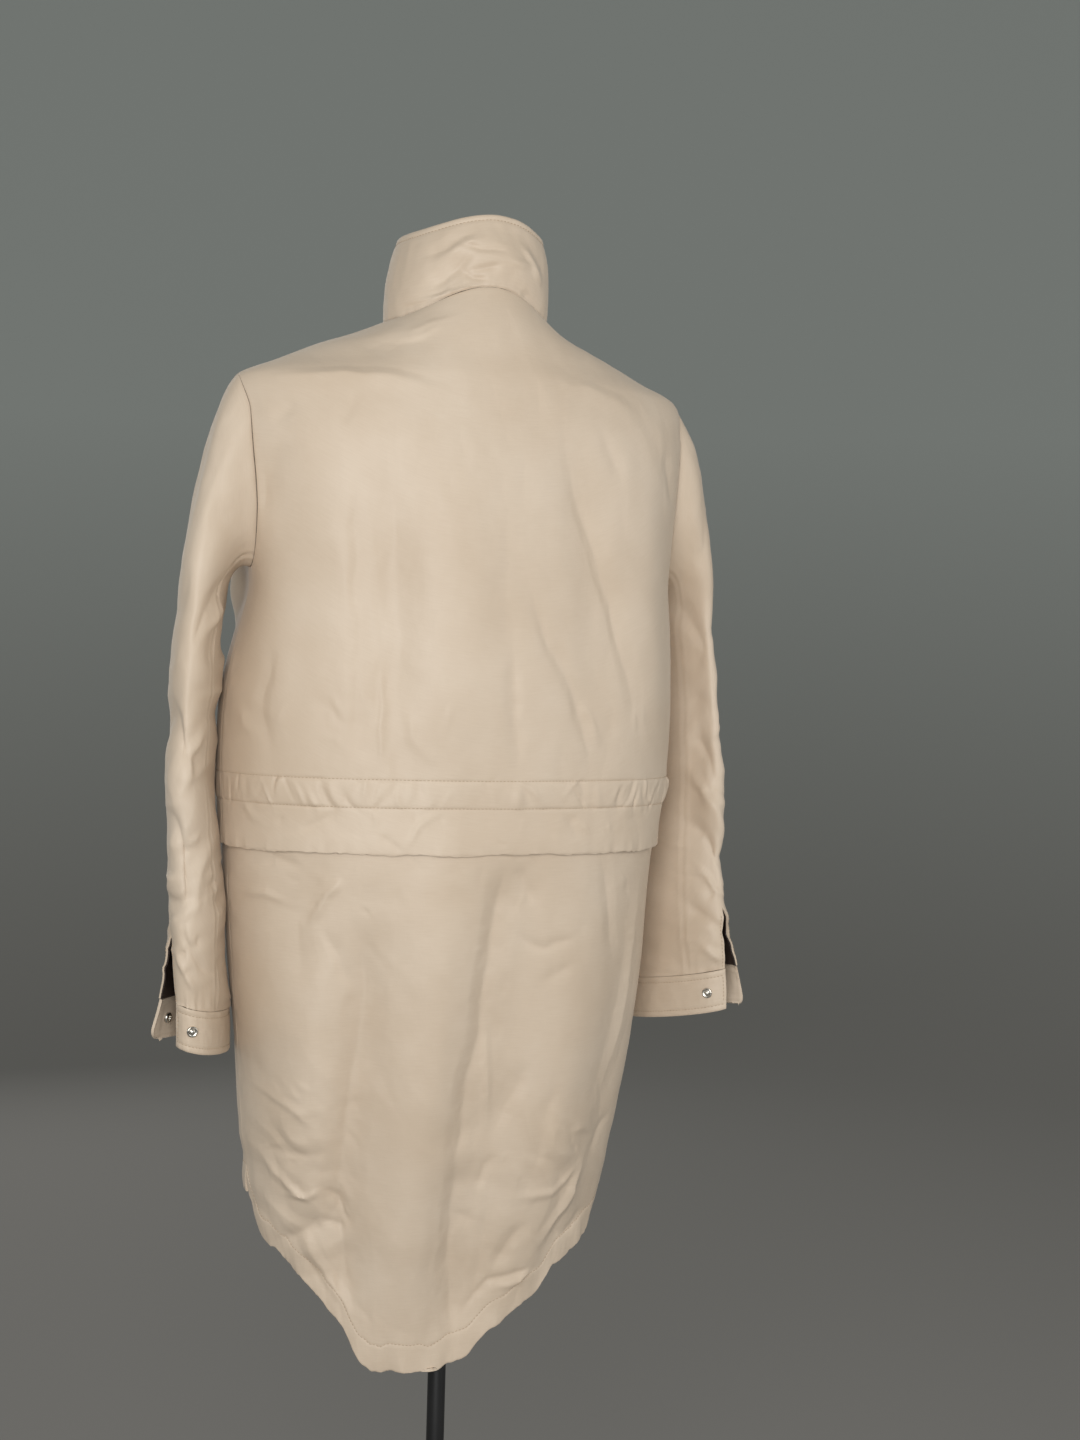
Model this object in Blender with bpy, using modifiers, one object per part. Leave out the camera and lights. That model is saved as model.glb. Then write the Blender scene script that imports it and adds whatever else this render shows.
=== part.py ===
"""Beige parka-style overcoat worn on a limbless dress form with a pole and a round base plate.

Metres, +Z up. The origin is on the floor under the pole, the coat faces -Y and the wearer's left is +X.
Every cloth piece is a thin wall laid on one shared body surface or one sleeve tube, so that the edges of
neighbouring pieces run side by side along their seams.
"""
from collections import namedtuple
from math import acos, cos, exp, hypot, pi, radians, sin, sqrt

import bmesh
import bpy
from mathutils import Vector

# ---------------------------------------------------------------- driving sizes (metres)
CLOTH = 0.0016            # wall of a plain panel: shell cloth with its lining
DOUBLE_CLOTH = 0.0024     # wall of the collar and the cuffs, two layers and an interlining
LINING = 0.0010
SEAM_GAP = 0.0003         # between two pieces that are sewn together
LAY_GAP = 0.0003          # between a piece and the panel it lies on
SEAT_GAP = 0.0007         # between the form's shoulders and the coat

NECK_H = 1.415            # side height of the neck seam
SHOULDER_H = 1.357        # shoulder tip
ARMPIT_H = 1.190
CASING_TOP_H = 1.009      # upper stitch row of the drawstring casing
CASING_BOTTOM_H = 0.985   # lower stitch row
FLAP_H = 0.945            # free edge of the upper layer
SKIRT_TOP_H = 0.972       # the skirt hangs from inside the casing
COLLAR_BOW = 0.0045       # how far the collar swells outwards half-way up
COLLAR_CREASE = 0.0022    # height of the slanting creases at the back of the collar

ARMHOLE_BACK = 0.040      # half-depth of the armhole oval behind the shoulder line
ARMHOLE_FRONT = 0.046
SKIRT_INSET = 0.0030      # the skirt's face lies this far inside the upper layer's face
CASING_PUFF = 0.0022      # how far the casing band swells between its stitch rows
PUCKER = 0.0016           # height of the gathers along the casing
FLAP_WAVE = 0.0012        # half the height of the waves along the free edge

PLACKET_WIDTH = 0.056
PLACKET_TOP_H = 1.412
PLACKET_GAP_H = 0.0006    # the upper strip ends this far above the lower one

CUFF_TOP_H = {"left": 0.804, "right": 0.819}
CUFF_OUTER_TILT = {"left": 0.0060, "right": 0.0045}  # how much higher the cuff's outer side hangs
CUFF_BACK_TILT = {"left": 0.0040, "right": 0.0097}   # how much higher its back hangs
CUFF_HEIGHT = 0.038
VENT_LENGTH = 0.060       # above the cuff's seam
VENT_ANGLE = {"left": radians(45), "right": radians(90)}  # where the vent lies, from outer side to back
VENT_SPREAD = {"left": radians(12), "right": radians(8)}  # half the opening of the vent at the cuff
FLARE_WIDTH = radians(75)  # how far round from the vent its front edge lifts away
QUARTER_WIDTH = 0.035     # a quarter of the way round a flat sleeve, half its side

SNAP_INSET = 0.0185       # from the cuff's end to a snap's centre
SNAP_RADIUS = 0.0048
SNAP_GAP = 0.0007         # between a snap and the cuff it is pressed through
SNAP_CAP_RADIUS = 0.0055

NECK_STUMP_TOP = 1.472
NECK_FOOT_INSET = 0.007   # the form's neck starts this far inside the collar's seam
FORM_BOTTOM = 0.745
NECK_RIM = 0.004          # bevel round the top of the neck
POLE_RADIUS = 0.0083
BASE_RADIUS = 0.165
BASE_THICKNESS = 0.010
BASE_BEVEL = 0.002

FOLDS_START_H = 1.350     # above this the cloth lies on the form without folds
FOLDS_FADE = 0.060
SIDE_FADE = 0.35          # folds fade out where the body surface turns this close to the side

# ---------------------------------------------------------------- how finely the pieces are divided
BACK_COLUMNS = 36
FRONT_COLUMNS = 14
SHOULDER_ROWS = 4
ARMHOLE_ROWS = 8
CHEST_ROWS = 5
BACK_SKIRT_ROWS = 9
FRONT_SKIRT_ROWS = 7
PLACKET_COLUMNS = 4
PLACKET_SKIRT_ROWS = 8
COLLAR_ROWS = 4
SLEEVE_COLUMNS = 16
CAP_STEPS = (0.0, 0.10, 0.25, 0.45, 0.70)   # shares of the way from the armhole to the upper arm
ARM_ROWS = 7
LINED_ROWS = 3            # closed rows of the sleeve that its lining follows
CUFF_COLUMNS = 32
CUFF_ROWS = 2
FORM_COLUMNS = 28
SNAP_STEPS = 12
BASE_SIDES = 40

# ---------------------------------------------------------------- tables with named columns
# The coat's body: height at the sides, half-width, back and front edge, centre, sideways drift, how far
# the back rises above and the front drops below the height at the sides, and how much fuller than an
# ellipse the ring is between its sides and its back.
Ring = namedtuple("Ring", "h half_width back front centre drift back_rise front_drop fullness")
BODY = (
    Ring(1.415, 0.0735, 0.088, -0.060, 0.016, 0.005, 0.026, 0.034, 0.00),
    Ring(1.402, 0.1040, 0.096, -0.073, 0.017, 0.005, 0.021, 0.027, -0.12),
    Ring(1.389, 0.1395, 0.104, -0.085, 0.018, 0.005, 0.014, 0.019, -0.16),
    Ring(1.373, 0.1755, 0.112, -0.096, 0.018, 0.005, 0.007, 0.010, -0.16),
    Ring(1.357, 0.2095, 0.119, -0.105, 0.017, 0.006, 0.003, 0.003, -0.12),
    Ring(1.325, 0.2140, 0.127, -0.114, 0.015, 0.005, 0.000, 0.000, 0.00),
    Ring(1.290, 0.2125, 0.133, -0.121, 0.012, 0.005, 0.000, 0.000, 0.05),
    Ring(1.234, 0.2050, 0.138, -0.129, 0.009, 0.003, 0.000, 0.000, 0.07),
    Ring(1.190, 0.2010, 0.140, -0.134, 0.006, 0.001, 0.000, 0.000, 0.07),
    Ring(1.130, 0.2055, 0.140, -0.138, 0.002, 0.000, 0.000, 0.000, 0.07),
    Ring(1.060, 0.2105, 0.138, -0.141, 0.000, 0.002, 0.000, 0.000, 0.07),
    Ring(1.000, 0.2095, 0.134, -0.142, -0.002, 0.004, 0.000, 0.000, 0.07),
    Ring(0.945, 0.2040, 0.134, -0.144, -0.004, 0.006, 0.000, 0.000, 0.07),
    Ring(0.880, 0.2000, 0.131, -0.143, -0.006, 0.006, 0.000, 0.000, 0.07),
    Ring(0.811, 0.1955, 0.124, -0.141, -0.008, 0.006, 0.000, 0.000, 0.07),
    Ring(0.704, 0.1835, 0.110, -0.136, -0.013, 0.008, 0.000, 0.000, 0.07),
    Ring(0.612, 0.1690, 0.094, -0.127, -0.017, 0.011, 0.000, 0.000, 0.07),
    Ring(0.550, 0.1560, 0.083, -0.118, -0.018, 0.013, 0.000, 0.000, 0.07),
    Ring(0.480, 0.1380, 0.072, -0.106, -0.018, 0.014, 0.000, 0.000, 0.07),
)

# The dress form below its shoulders, in the same columns.
FORM = (
    Ring(1.350, 0.1950, 0.109, -0.094, 0.017, 0.004, 0.002, 0.003, -0.12),
    Ring(1.310, 0.1900, 0.113, -0.100, 0.015, 0.003, 0.000, 0.000, -0.04),
    Ring(1.250, 0.1780, 0.116, -0.108, 0.010, 0.000, 0.000, 0.000, 0.05),
    Ring(1.180, 0.1650, 0.114, -0.116, 0.005, 0.000, 0.000, 0.000, 0.05),
    Ring(1.100, 0.1520, 0.104, -0.108, 0.002, 0.000, 0.000, 0.000, 0.05),
    Ring(1.010, 0.1380, 0.092, -0.092, 0.000, 0.000, 0.000, 0.000, 0.05),
    Ring(0.920, 0.1520, 0.099, -0.098, -0.002, 0.000, 0.000, 0.000, 0.05),
    Ring(0.840, 0.1620, 0.101, -0.104, -0.004, 0.000, 0.000, 0.000, 0.05),
    Ring(0.745, 0.1500, 0.086, -0.100, -0.008, 0.000, 0.000, 0.000, 0.05),
)

# The collar's top edge, and the form's neck, whose heights are given apart.
COLLAR_HEAD = Ring(1.4925, 0.0655, 0.080, -0.060, 0.012, 0.000, 0.0135, 0.009, 0.00)
NECK = Ring(0, 0.0560, 0.068, -0.046, 0.012, 0.005, 0.000, 0.000, 0.00)
# Heights of the form's rows: those that carry the shoulders of the coat, then those of its own table.
CARRIED_HEIGHTS = (1.408, 1.399, 1.390, 1.380, 1.369)
FORM_HEIGHTS = (1.350, 1.325, 1.290, 1.235, 1.180, 1.100, 1.010, 0.925, 0.845, 0.780, FORM_BOTTOM)

# A sleeve: height, distance of its centre from the coat's middle, its place front to back, half-thickness,
# half-depth, and how far its flat section is turned with its front edge inwards (degrees).
Section = namedtuple("Section", "h out y half_thick half_depth yaw")
SLEEVES = {
    "left": (
        Section(1.150, 0.2420, 0.010, 0.0200, 0.058, 16),
        Section(1.100, 0.2445, 0.008, 0.0215, 0.064, 18),
        Section(1.010, 0.2455, 0.004, 0.0210, 0.067, 19),
        Section(0.945, 0.2420, 0.002, 0.0220, 0.067, 20),
        Section(0.870, 0.2350, -0.002, 0.0230, 0.065, 22),
        Section(0.800, 0.2290, -0.004, 0.0220, 0.061, 25),
        Section(0.750, 0.2270, -0.006, 0.0215, 0.060, 26),
    ),
    "right": (
        Section(1.150, 0.2280, -0.020, 0.0190, 0.058, 12),
        Section(1.100, 0.2325, -0.022, 0.0200, 0.063, 12),
        Section(1.010, 0.2370, -0.020, 0.0205, 0.065, 12),
        Section(0.945, 0.2350, -0.014, 0.0215, 0.065, 15),
        Section(0.870, 0.2330, -0.006, 0.0220, 0.064, 21),
        Section(0.800, 0.2350, 0.002, 0.0215, 0.062, 27),
        Section(0.750, 0.2350, 0.003, 0.0210, 0.061, 27),
    ),
}

# How far the front end of each open cuff stands away from the sleeve, and how far up this reaches.
CUFF_FLARE = {"left": 0.017, "right": 0.015}
FLARE_RISE = 0.095
TILT_START_H = 0.980      # from here down the sleeve's rows lean towards the cuff's tilt

# The shirt-tail hem: angle round the coat (0 wearer's left, 90 back, 180 right, 270 front) and height.
HemPoint = namedtuple("HemPoint", "angle height")
HEM = (
    HemPoint(360, 0.628), HemPoint(335, 0.622), HemPoint(305, 0.606), HemPoint(270, 0.600),
    HemPoint(235, 0.606), HemPoint(205, 0.620), HemPoint(182, 0.614), HemPoint(167, 0.596),
    HemPoint(151, 0.584), HemPoint(137, 0.572), HemPoint(127, 0.558), HemPoint(122, 0.541),
    HemPoint(112, 0.527), HemPoint(103, 0.509), HemPoint(95, 0.488), HemPoint(88, 0.481),
    HemPoint(76, 0.480), HemPoint(63, 0.481), HemPoint(56, 0.491), HemPoint(50, 0.518),
    HemPoint(36, 0.551), HemPoint(20, 0.581), HemPoint(9, 0.593), HemPoint(0, 0.628),
)

# The largest soft folds: from one point to another (x across, z up), width and height, minus for a trough.
Fold = namedtuple("Fold", "x0 z0 x1 z1 width height")
BACK_FOLDS = (
    Fold(0.115, 1.250, 0.100, 1.020, 0.022, -0.0050),
    Fold(0.045, 1.290, 0.040, 1.030, 0.040, 0.0040),
    Fold(-0.060, 1.330, -0.095, 1.040, 0.024, -0.0045),
    Fold(-0.140, 1.260, -0.150, 1.060, 0.026, 0.0040),
    Fold(0.050, 0.930, 0.066, 0.500, 0.034, 0.0085),
    Fold(0.115, 0.900, 0.118, 0.570, 0.024, -0.0075),
    Fold(0.160, 0.860, 0.145, 0.640, 0.022, 0.0060),
    Fold(-0.030, 0.920, 0.012, 0.520, 0.026, -0.0070),
    Fold(-0.090, 0.880, -0.060, 0.560, 0.030, 0.0060),
    Fold(-0.150, 0.900, -0.125, 0.620, 0.022, -0.0050),
)
FRONT_FOLDS = (
    Fold(0.120, 1.270, 0.110, 1.030, 0.028, -0.0045),
    Fold(-0.125, 1.270, -0.115, 1.030, 0.028, -0.0045),
    Fold(0.110, 0.920, 0.095, 0.640, 0.028, -0.0060),
    Fold(0.060, 0.900, 0.055, 0.640, 0.024, 0.0050),
    Fold(-0.112, 0.920, -0.098, 0.640, 0.028, -0.0060),
    Fold(-0.060, 0.900, -0.052, 0.640, 0.024, 0.0050),
)
# On a sleeve x runs round the flat tube from its outer side.
SLEEVE_FOLDS = (
    Fold(0.010, 1.120, 0.028, 1.050, 0.016, -0.0026),
    Fold(0.100, 1.120, 0.066, 1.050, 0.018, 0.0026),
    Fold(0.010, 1.040, 0.034, 0.980, 0.016, 0.0026),
    Fold(0.112, 1.000, 0.090, 0.940, 0.018, -0.0026),
    Fold(0.050, 0.960, 0.030, 0.900, 0.016, -0.0024),
)

# Half-sections of the snap's parts as shares of their radius and heights in metres, from the axis out
# and down to the cloth.
STUD_PROFILE = ((0, 0.0030), (0.35, 0.0028), (0.42, 0.0020), (0.34, 0.0010), (0.62, 0.0007),
                (0.80, 0.0012), (1, 0.0007), (1, 0.0), (0, 0.0))
CAP_PROFILE = ((0, 0.0018), (0.6, 0.0016), (0.92, 0.0009), (1, 0.0004), (1, 0.0), (0, 0.0))
SOCKET_PROFILE = ((0, 0.0004), (0.40, 0.0004), (0.48, 0.0020), (0.80, 0.0020), (1, 0.0012), (1, 0.0),
                  (0, 0.0))

# ---------------------------------------------------------------- colours, roughness, metal
Finish = namedtuple("Finish", "colour roughness metallic")
FINISHES = {
    "shell_cloth": Finish((0.62, 0.50, 0.39), 0.55, 0.0),
    "lining_cloth": Finish((0.035, 0.020, 0.016), 0.60, 0.0),
    "snap_metal": Finish((0.62, 0.61, 0.58), 0.28, 1.0),
    "form_cover": Finish((0.030, 0.030, 0.032), 0.85, 0.0),
    "black_steel": Finish((0.012, 0.012, 0.013), 0.45, 0.0),
}


def clear_scene():
    """Start from an empty scene."""
    for item in list(bpy.data.objects):
        bpy.data.objects.remove(item, do_unlink=True)


def make_material(name):
    """Principled material for one of the finishes."""
    finish = FINISHES[name]
    material = bpy.data.materials.new(name)
    material.use_nodes = True
    shader = material.node_tree.nodes["Principled BSDF"]
    shader.inputs["Base Color"].default_value = (*finish.colour, 1.0)
    shader.inputs["Roughness"].default_value = finish.roughness
    shader.inputs["Metallic"].default_value = finish.metallic
    return material


# ---------------------------------------------------------------- smooth tables
def smooth_row(rows, h):
    """The table's row at height h, on smooth curves through its rows (the first column falls)."""
    h = min(max(h, rows[-1][0]), rows[0][0])
    at = 0
    while at < len(rows) - 2 and rows[at + 1][0] > h:
        at += 1
    before, low, high = rows[max(at - 1, 0)], rows[at], rows[at + 1]
    after = rows[min(at + 2, len(rows) - 1)]
    span = high[0] - low[0]
    t = (h - low[0]) / span
    values = []
    for a, b, c, d in zip(before, low, high, after):
        slope_low = (c - a) / (high[0] - before[0]) * span
        slope_high = (d - b) / (after[0] - low[0]) * span
        values.append((2 * t**3 - 3 * t**2 + 1) * b + (t**3 - 2 * t**2 + t) * slope_low
                      + (3 * t**2 - 2 * t**3) * c + (t**3 - t**2) * slope_high)
    return type(low)(*values)


def hem_height(angle):
    """Height of the hem at an angle round the coat."""
    return smooth_row(HEM, (angle * 180 / pi) % 360).height


# ---------------------------------------------------------------- the body surface
def ring_point(row, angle):
    """The point of a ring at an angle: 0 is the wearer's left, a quarter turn the back."""
    c, s = cos(angle), sin(angle)
    depth = row.back - row.centre if s >= 0 else row.centre - row.front
    lift = row.back_rise if s >= 0 else -row.front_drop
    x = row.drift + row.half_width * c * (1 + row.fullness * s * s)
    y = row.centre + depth * s * (1 + row.fullness * c * c)
    return Vector((x, y, row.h + lift * abs(s) ** 3))


def body_point(angle, h):
    """A point of the coat's smooth body surface."""
    return ring_point(smooth_row(BODY, h), angle)


def surface_normal(point_at, u, v, du, dv):
    """Outward unit normal of a surface whose u turns anticlockwise and whose v rises."""
    across = point_at(u + du, v) - point_at(u - du, v)
    along = point_at(u, v + dv) - point_at(u, v - dv)
    return across.cross(along).normalized()


def body_normal(angle, h):
    """Outward unit normal of the body surface; heights past the neck seam use the seam's own slope."""
    h = min(h, NECK_H - 0.003)
    return surface_normal(body_point, angle, h, 0.02, 0.003)


def fold_height(folds, across, up):
    """Sum of the soft folds at a place: a rounded bump beside each fold's line, fading at its ends."""
    total = 0.0
    for fold in folds:
        run_x, run_z = fold.x1 - fold.x0, fold.z1 - fold.z0
        t = ((across - fold.x0) * run_x + (up - fold.z0) * run_z) / (run_x**2 + run_z**2)
        t = min(max(t, 0.0), 1.0)
        away = hypot(across - fold.x0 - t * run_x, up - fold.z0 - t * run_z)
        total += fold.height * exp(-(away / fold.width) ** 2) * (0.35 + 0.65 * sin(pi * t))
    return total


def body_relief(angle, h):
    """Height of the body's folds over its smooth surface."""
    place = body_point(angle, h)
    folds = BACK_FOLDS if sin(angle) >= 0 else FRONT_FOLDS
    side_fade = min(abs(sin(angle)) / SIDE_FADE, 1.0)
    shoulder_fade = min(max((FOLDS_START_H - h) / FOLDS_FADE, 0.0), 1.0)
    return fold_height(folds, place.x, place.z) * side_fade * shoulder_fade


def on_body(angle, h, lift):
    """A point lifted off the folded body surface along the smooth surface's normal."""
    return body_point(angle, h) + body_normal(angle, h) * (body_relief(angle, h) + lift)


def side_gap_angle(h):
    """Angle that half a seam gap takes at the coat's side."""
    row = smooth_row(BODY, h)
    return 0.5 * SEAM_GAP / (row.back - row.centre)


def edge_angle(row, behind, reach):
    """Angle at which a ring stands `reach` behind or before its centre."""
    depth = row.back - row.centre if behind else row.centre - row.front
    low, high = 0.0, 1.0
    for _ in range(30):
        s = 0.5 * (low + high)
        if depth * s * (1 + row.fullness * (1 - s * s)) < reach:
            low = s
        else:
            high = s
    return pi / 2 - acos(min(low, 1.0))


def armhole_angle(h, behind):
    """Angle of the armhole's edge at height h, from the side; zero outside the armhole."""
    centre, half = 0.5 * (SHOULDER_H + ARMPIT_H), 0.5 * (SHOULDER_H - ARMPIT_H)
    t = (h - centre) / half
    if abs(t) >= 1:
        return 0.0
    wide = ARMHOLE_BACK if behind else ARMHOLE_FRONT
    return edge_angle(smooth_row(BODY, h), behind, wide * sqrt(1 - t * t))


def armhole_heights(steps):
    """Heights from shoulder tip to armpit, closer together at both ends."""
    centre, half = 0.5 * (SHOULDER_H + ARMPIT_H), 0.5 * (SHOULDER_H - ARMPIT_H)
    return [centre + half * cos(pi * k / steps) for k in range(steps + 1)]


# ---------------------------------------------------------------- walls
def add_wall(name, outer, inner, material, collection, closed_rows=0):
    """One closed solid between two grids of points; the first closed_rows rows join into a tube."""
    rows, columns = len(outer), len(outer[0])
    mesh = bmesh.new()
    layers = []
    for grid in (outer, inner):
        layer = []
        for i, row in enumerate(grid):
            made = [mesh.verts.new(p) for p in (row[:-1] if i < closed_rows else row)]
            if i < closed_rows:
                made.append(made[0])
            layer.append(made)
        layers.append(layer)
    face, back = layers
    for i in range(rows - 1):
        for j in range(columns - 1):
            mesh.faces.new((face[i][j], face[i + 1][j], face[i + 1][j + 1], face[i][j + 1]))
            mesh.faces.new((back[i][j], back[i][j + 1], back[i + 1][j + 1], back[i + 1][j]))
    for j in range(columns - 1):
        mesh.faces.new((face[0][j], face[0][j + 1], back[0][j + 1], back[0][j]))
        mesh.faces.new((face[-1][j], back[-1][j], back[-1][j + 1], face[-1][j + 1]))
    for i in range(max(closed_rows - 1, 0), rows - 1):
        mesh.faces.new((face[i][0], back[i][0], back[i + 1][0], face[i + 1][0]))
        mesh.faces.new((face[i][-1], face[i + 1][-1], back[i + 1][-1], back[i][-1]))
    return finish_object(name, mesh, material, collection)


def add_loft(name, rings, material, collection):
    """One closed solid through rings of points, from the top down, with flat ends."""
    mesh = bmesh.new()
    made = [[mesh.verts.new(p) for p in ring] for ring in rings]
    count = len(made[0])
    for upper, lower in zip(made, made[1:]):
        for j in range(count):
            k = (j + 1) % count
            mesh.faces.new((upper[j], lower[j], lower[k], upper[k]))
    mesh.faces.new(made[0])
    mesh.faces.new(list(reversed(made[-1])))
    return finish_object(name, mesh, material, collection)


def finish_object(name, mesh, material, collection):
    """Turn a bmesh into a named, smooth-shaded object whose faces point out."""
    bmesh.ops.recalc_face_normals(mesh, faces=mesh.faces)
    if mesh.calc_volume(signed=True) < 0:
        bmesh.ops.reverse_faces(mesh, faces=mesh.faces)
    data = bpy.data.meshes.new(name)
    mesh.to_mesh(data)
    mesh.free()
    data.shade_smooth()
    data.set_sharp_from_angle(angle=radians(40))
    data.materials.append(material)
    item = bpy.data.objects.new(name, data)
    collection.objects.link(item)
    return item


def spread(start, end, count):
    """count + 1 values from start to end."""
    return [start + (end - start) * k / count for k in range(count + 1)]


# ---------------------------------------------------------------- bodice
def bodice_heights():
    """Row heights from the neck seam to the free flap edge."""
    shoulder = spread(NECK_H, SHOULDER_H, SHOULDER_ROWS)[:-1]
    chest = spread(ARMPIT_H, CASING_TOP_H + 0.004, CHEST_ROWS)[1:]
    middle = 0.5 * (CASING_TOP_H + CASING_BOTTOM_H)
    casing = [CASING_TOP_H, middle, CASING_BOTTOM_H]
    flap = [CASING_BOTTOM_H - 0.006, 0.5 * (CASING_BOTTOM_H + FLAP_H), FLAP_H]
    return shoulder + armhole_heights(ARMHOLE_ROWS) + chest + casing + flap


def casing_lift(h, column):
    """The casing band swells between its stitch rows and is gathered; the flap below it waves a little."""
    wave = 1 if column % 2 else -1
    uneven = 0.65 + 0.35 * sin(1.7 * column) * sin(0.6 * column + 1)
    middle = 0.5 * (CASING_TOP_H + CASING_BOTTOM_H)
    if abs(h - middle) < 1e-6:
        return CASING_PUFF + wave * PUCKER * uneven
    if CASING_BOTTOM_H - 0.007 < h < CASING_TOP_H + 0.005:
        return 0.35 * PUCKER * wave * uneven
    if h < CASING_BOTTOM_H:
        return FLAP_WAVE * (1 + sin(0.9 * column))
    return 0.0


def panel_grids(heights, columns, limits, lift):
    """Outer and inner points of a panel on the body; limits(h) gives its first and last angle."""
    outer, inner = [], []
    for h in heights:
        first, last = limits(h)
        angles = spread(first, last, columns)
        lifts = [lift(h, j) for j in range(columns + 1)]
        outer.append([on_body(a, h, up) for a, up in zip(angles, lifts)])
        inner.append([on_body(a, h, up - CLOTH) for a, up in zip(angles, lifts)])
    return outer, inner


def back_limits(h):
    """Angles of the back panel's left and right edge: shoulder seam, armhole, then side seam."""
    edge = max(side_gap_angle(h), armhole_angle(h, behind=True))
    return edge, pi - edge


def front_limits(side):
    """The same for a front panel, from its side seam to the centre front."""
    def limits(h):
        row = smooth_row(BODY, h)
        edge = max(side_gap_angle(h), armhole_angle(h, behind=False))
        middle = 0.5 * SEAM_GAP / row.half_width
        if side == "left":
            return 1.5 * pi + middle, 2 * pi - edge
        return pi + edge, 1.5 * pi - middle
    return limits


def build_bodice(material, collection):
    """Back and two fronts, from the neck seam to the free edge below the casing."""
    heights = bodice_heights()
    outer, inner = panel_grids(heights, BACK_COLUMNS, back_limits, casing_lift)
    add_wall("back_bodice", outer, inner, material, collection)
    for side in ("left", "right"):
        outer, inner = panel_grids(heights, FRONT_COLUMNS, front_limits(side), casing_lift)
        add_wall(f"front_bodice_{side}", outer, inner, material, collection)


# ---------------------------------------------------------------- skirt
def skirt_grids(limits, columns, rows, lift, top=SKIRT_TOP_H):
    """Outer and inner points of a skirt panel, whose last row follows the shirt-tail hem."""
    first, last = limits(FLAP_H)
    angles = spread(first, last, columns)
    outer, inner = [], []
    start = min(top, FLAP_H)
    levels = [[top] * len(angles)] if top > start else []
    for t in spread(0.0, 1.0, rows):
        levels.append([start + (hem_height(a) - start) * t for a in angles])
    for heights in levels:
        outer.append([on_body(a, h, lift) for a, h in zip(angles, heights)])
        inner.append([on_body(a, h, lift - CLOTH) for a, h in zip(angles, heights)])
    return outer, inner


def build_skirt(material, collection):
    """Back skirt and two front skirts, hung from inside the casing."""
    outer, inner = skirt_grids(back_limits, BACK_COLUMNS, BACK_SKIRT_ROWS, -SKIRT_INSET)
    add_wall("back_skirt", outer, inner, material, collection)
    for side in ("left", "right"):
        outer, inner = skirt_grids(front_limits(side), FRONT_COLUMNS, FRONT_SKIRT_ROWS, -SKIRT_INSET)
        add_wall(f"front_skirt_{side}", outer, inner, material, collection)


# ---------------------------------------------------------------- front fly strip
def placket_limits(h):
    """Angles of the strip's two edges, centred on the front opening."""
    half = 0.5 * PLACKET_WIDTH / smooth_row(BODY, h).half_width
    return 1.5 * pi - half, 1.5 * pi + half


def build_placket(material, collection):
    """The plain strip that covers the closed opening, above and below the flap edge."""
    upper_heights = [min(h, PLACKET_TOP_H) for h in bodice_heights() if h > FLAP_H]
    upper_heights.append(FLAP_H + PLACKET_GAP_H)
    on_panel = LAY_GAP + CLOTH

    def upper_lift(h, column):
        near_casing = CASING_BOTTOM_H - 0.012 < h < CASING_TOP_H + 0.008
        if near_casing:
            return on_panel + CASING_PUFF + PUCKER
        return on_panel + (2 * FLAP_WAVE if h < CASING_BOTTOM_H else 0.0)

    outer, inner = panel_grids(upper_heights, PLACKET_COLUMNS, placket_limits, upper_lift)
    add_wall("placket_upper", outer, inner, material, collection)
    outer, inner = skirt_grids(placket_limits, PLACKET_COLUMNS, PLACKET_SKIRT_ROWS, on_panel - SKIRT_INSET,
                               top=FLAP_H)
    add_wall("placket_lower", outer, inner, material, collection)


# ---------------------------------------------------------------- collar
def collar_point(angle, rise, inset):
    """A point of the funnel collar: rise 0 at the neck seam, 1 at its top edge; inset runs inwards."""
    foot = body_point(angle, NECK_H) + Vector((0, 0, SEAM_GAP))
    head = ring_point(COLLAR_HEAD, angle)
    outward = Vector((cos(angle), sin(angle), 0))
    crease = COLLAR_CREASE * sin(3 * angle + 7 * rise) * max(sin(angle), 0.0)
    return foot.lerp(head, rise) + outward * ((COLLAR_BOW + crease) * sin(pi * rise) - inset)


def build_collar(material, collection):
    """A stand-up ring that meets itself at the centre front."""
    opening = 0.5 * SEAM_GAP / COLLAR_HEAD.half_width
    angles = spread(-0.5 * pi + opening, 1.5 * pi - opening, BACK_COLUMNS)
    rises = spread(1.0, 0.0, COLLAR_ROWS)
    outer = [[collar_point(a, rise, 0.0) for a in angles] for rise in rises]
    inner = [[collar_point(a, rise, DOUBLE_CLOTH) for a in angles] for rise in rises]
    add_wall("collar", outer, inner, material, collection)


# ---------------------------------------------------------------- sleeves
def side_sign(side):
    """+1 for the wearer's left, -1 for the right."""
    return 1 if side == "left" else -1


def mirrored(point, side):
    """A point worked out for the left, placed on its own side."""
    return Vector((point.x * side_sign(side), point.y, point.z))


def tube_point(side, turn, h, open_end=0.0):
    """A point of the hanging sleeve or cuff, for the left side; turn 0 is outer, a quarter turn back."""
    row = smooth_row(SLEEVES[side], h)
    yaw = radians(row.yaw)
    out = row.half_thick * cos(turn) + open_end
    back = row.half_depth * sin(turn)
    x = row.out + out * cos(yaw) + back * sin(yaw)
    y = row.y - out * sin(yaw) + back * cos(yaw)
    near_cuff = min(max((TILT_START_H - h) / (TILT_START_H - CUFF_TOP_H[side]), 0.0), 1.0)
    tilt = CUFF_OUTER_TILT[side] * cos(turn) + CUFF_BACK_TILT[side] * sin(turn)
    return Vector((x, y, h + tilt * near_cuff))


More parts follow.
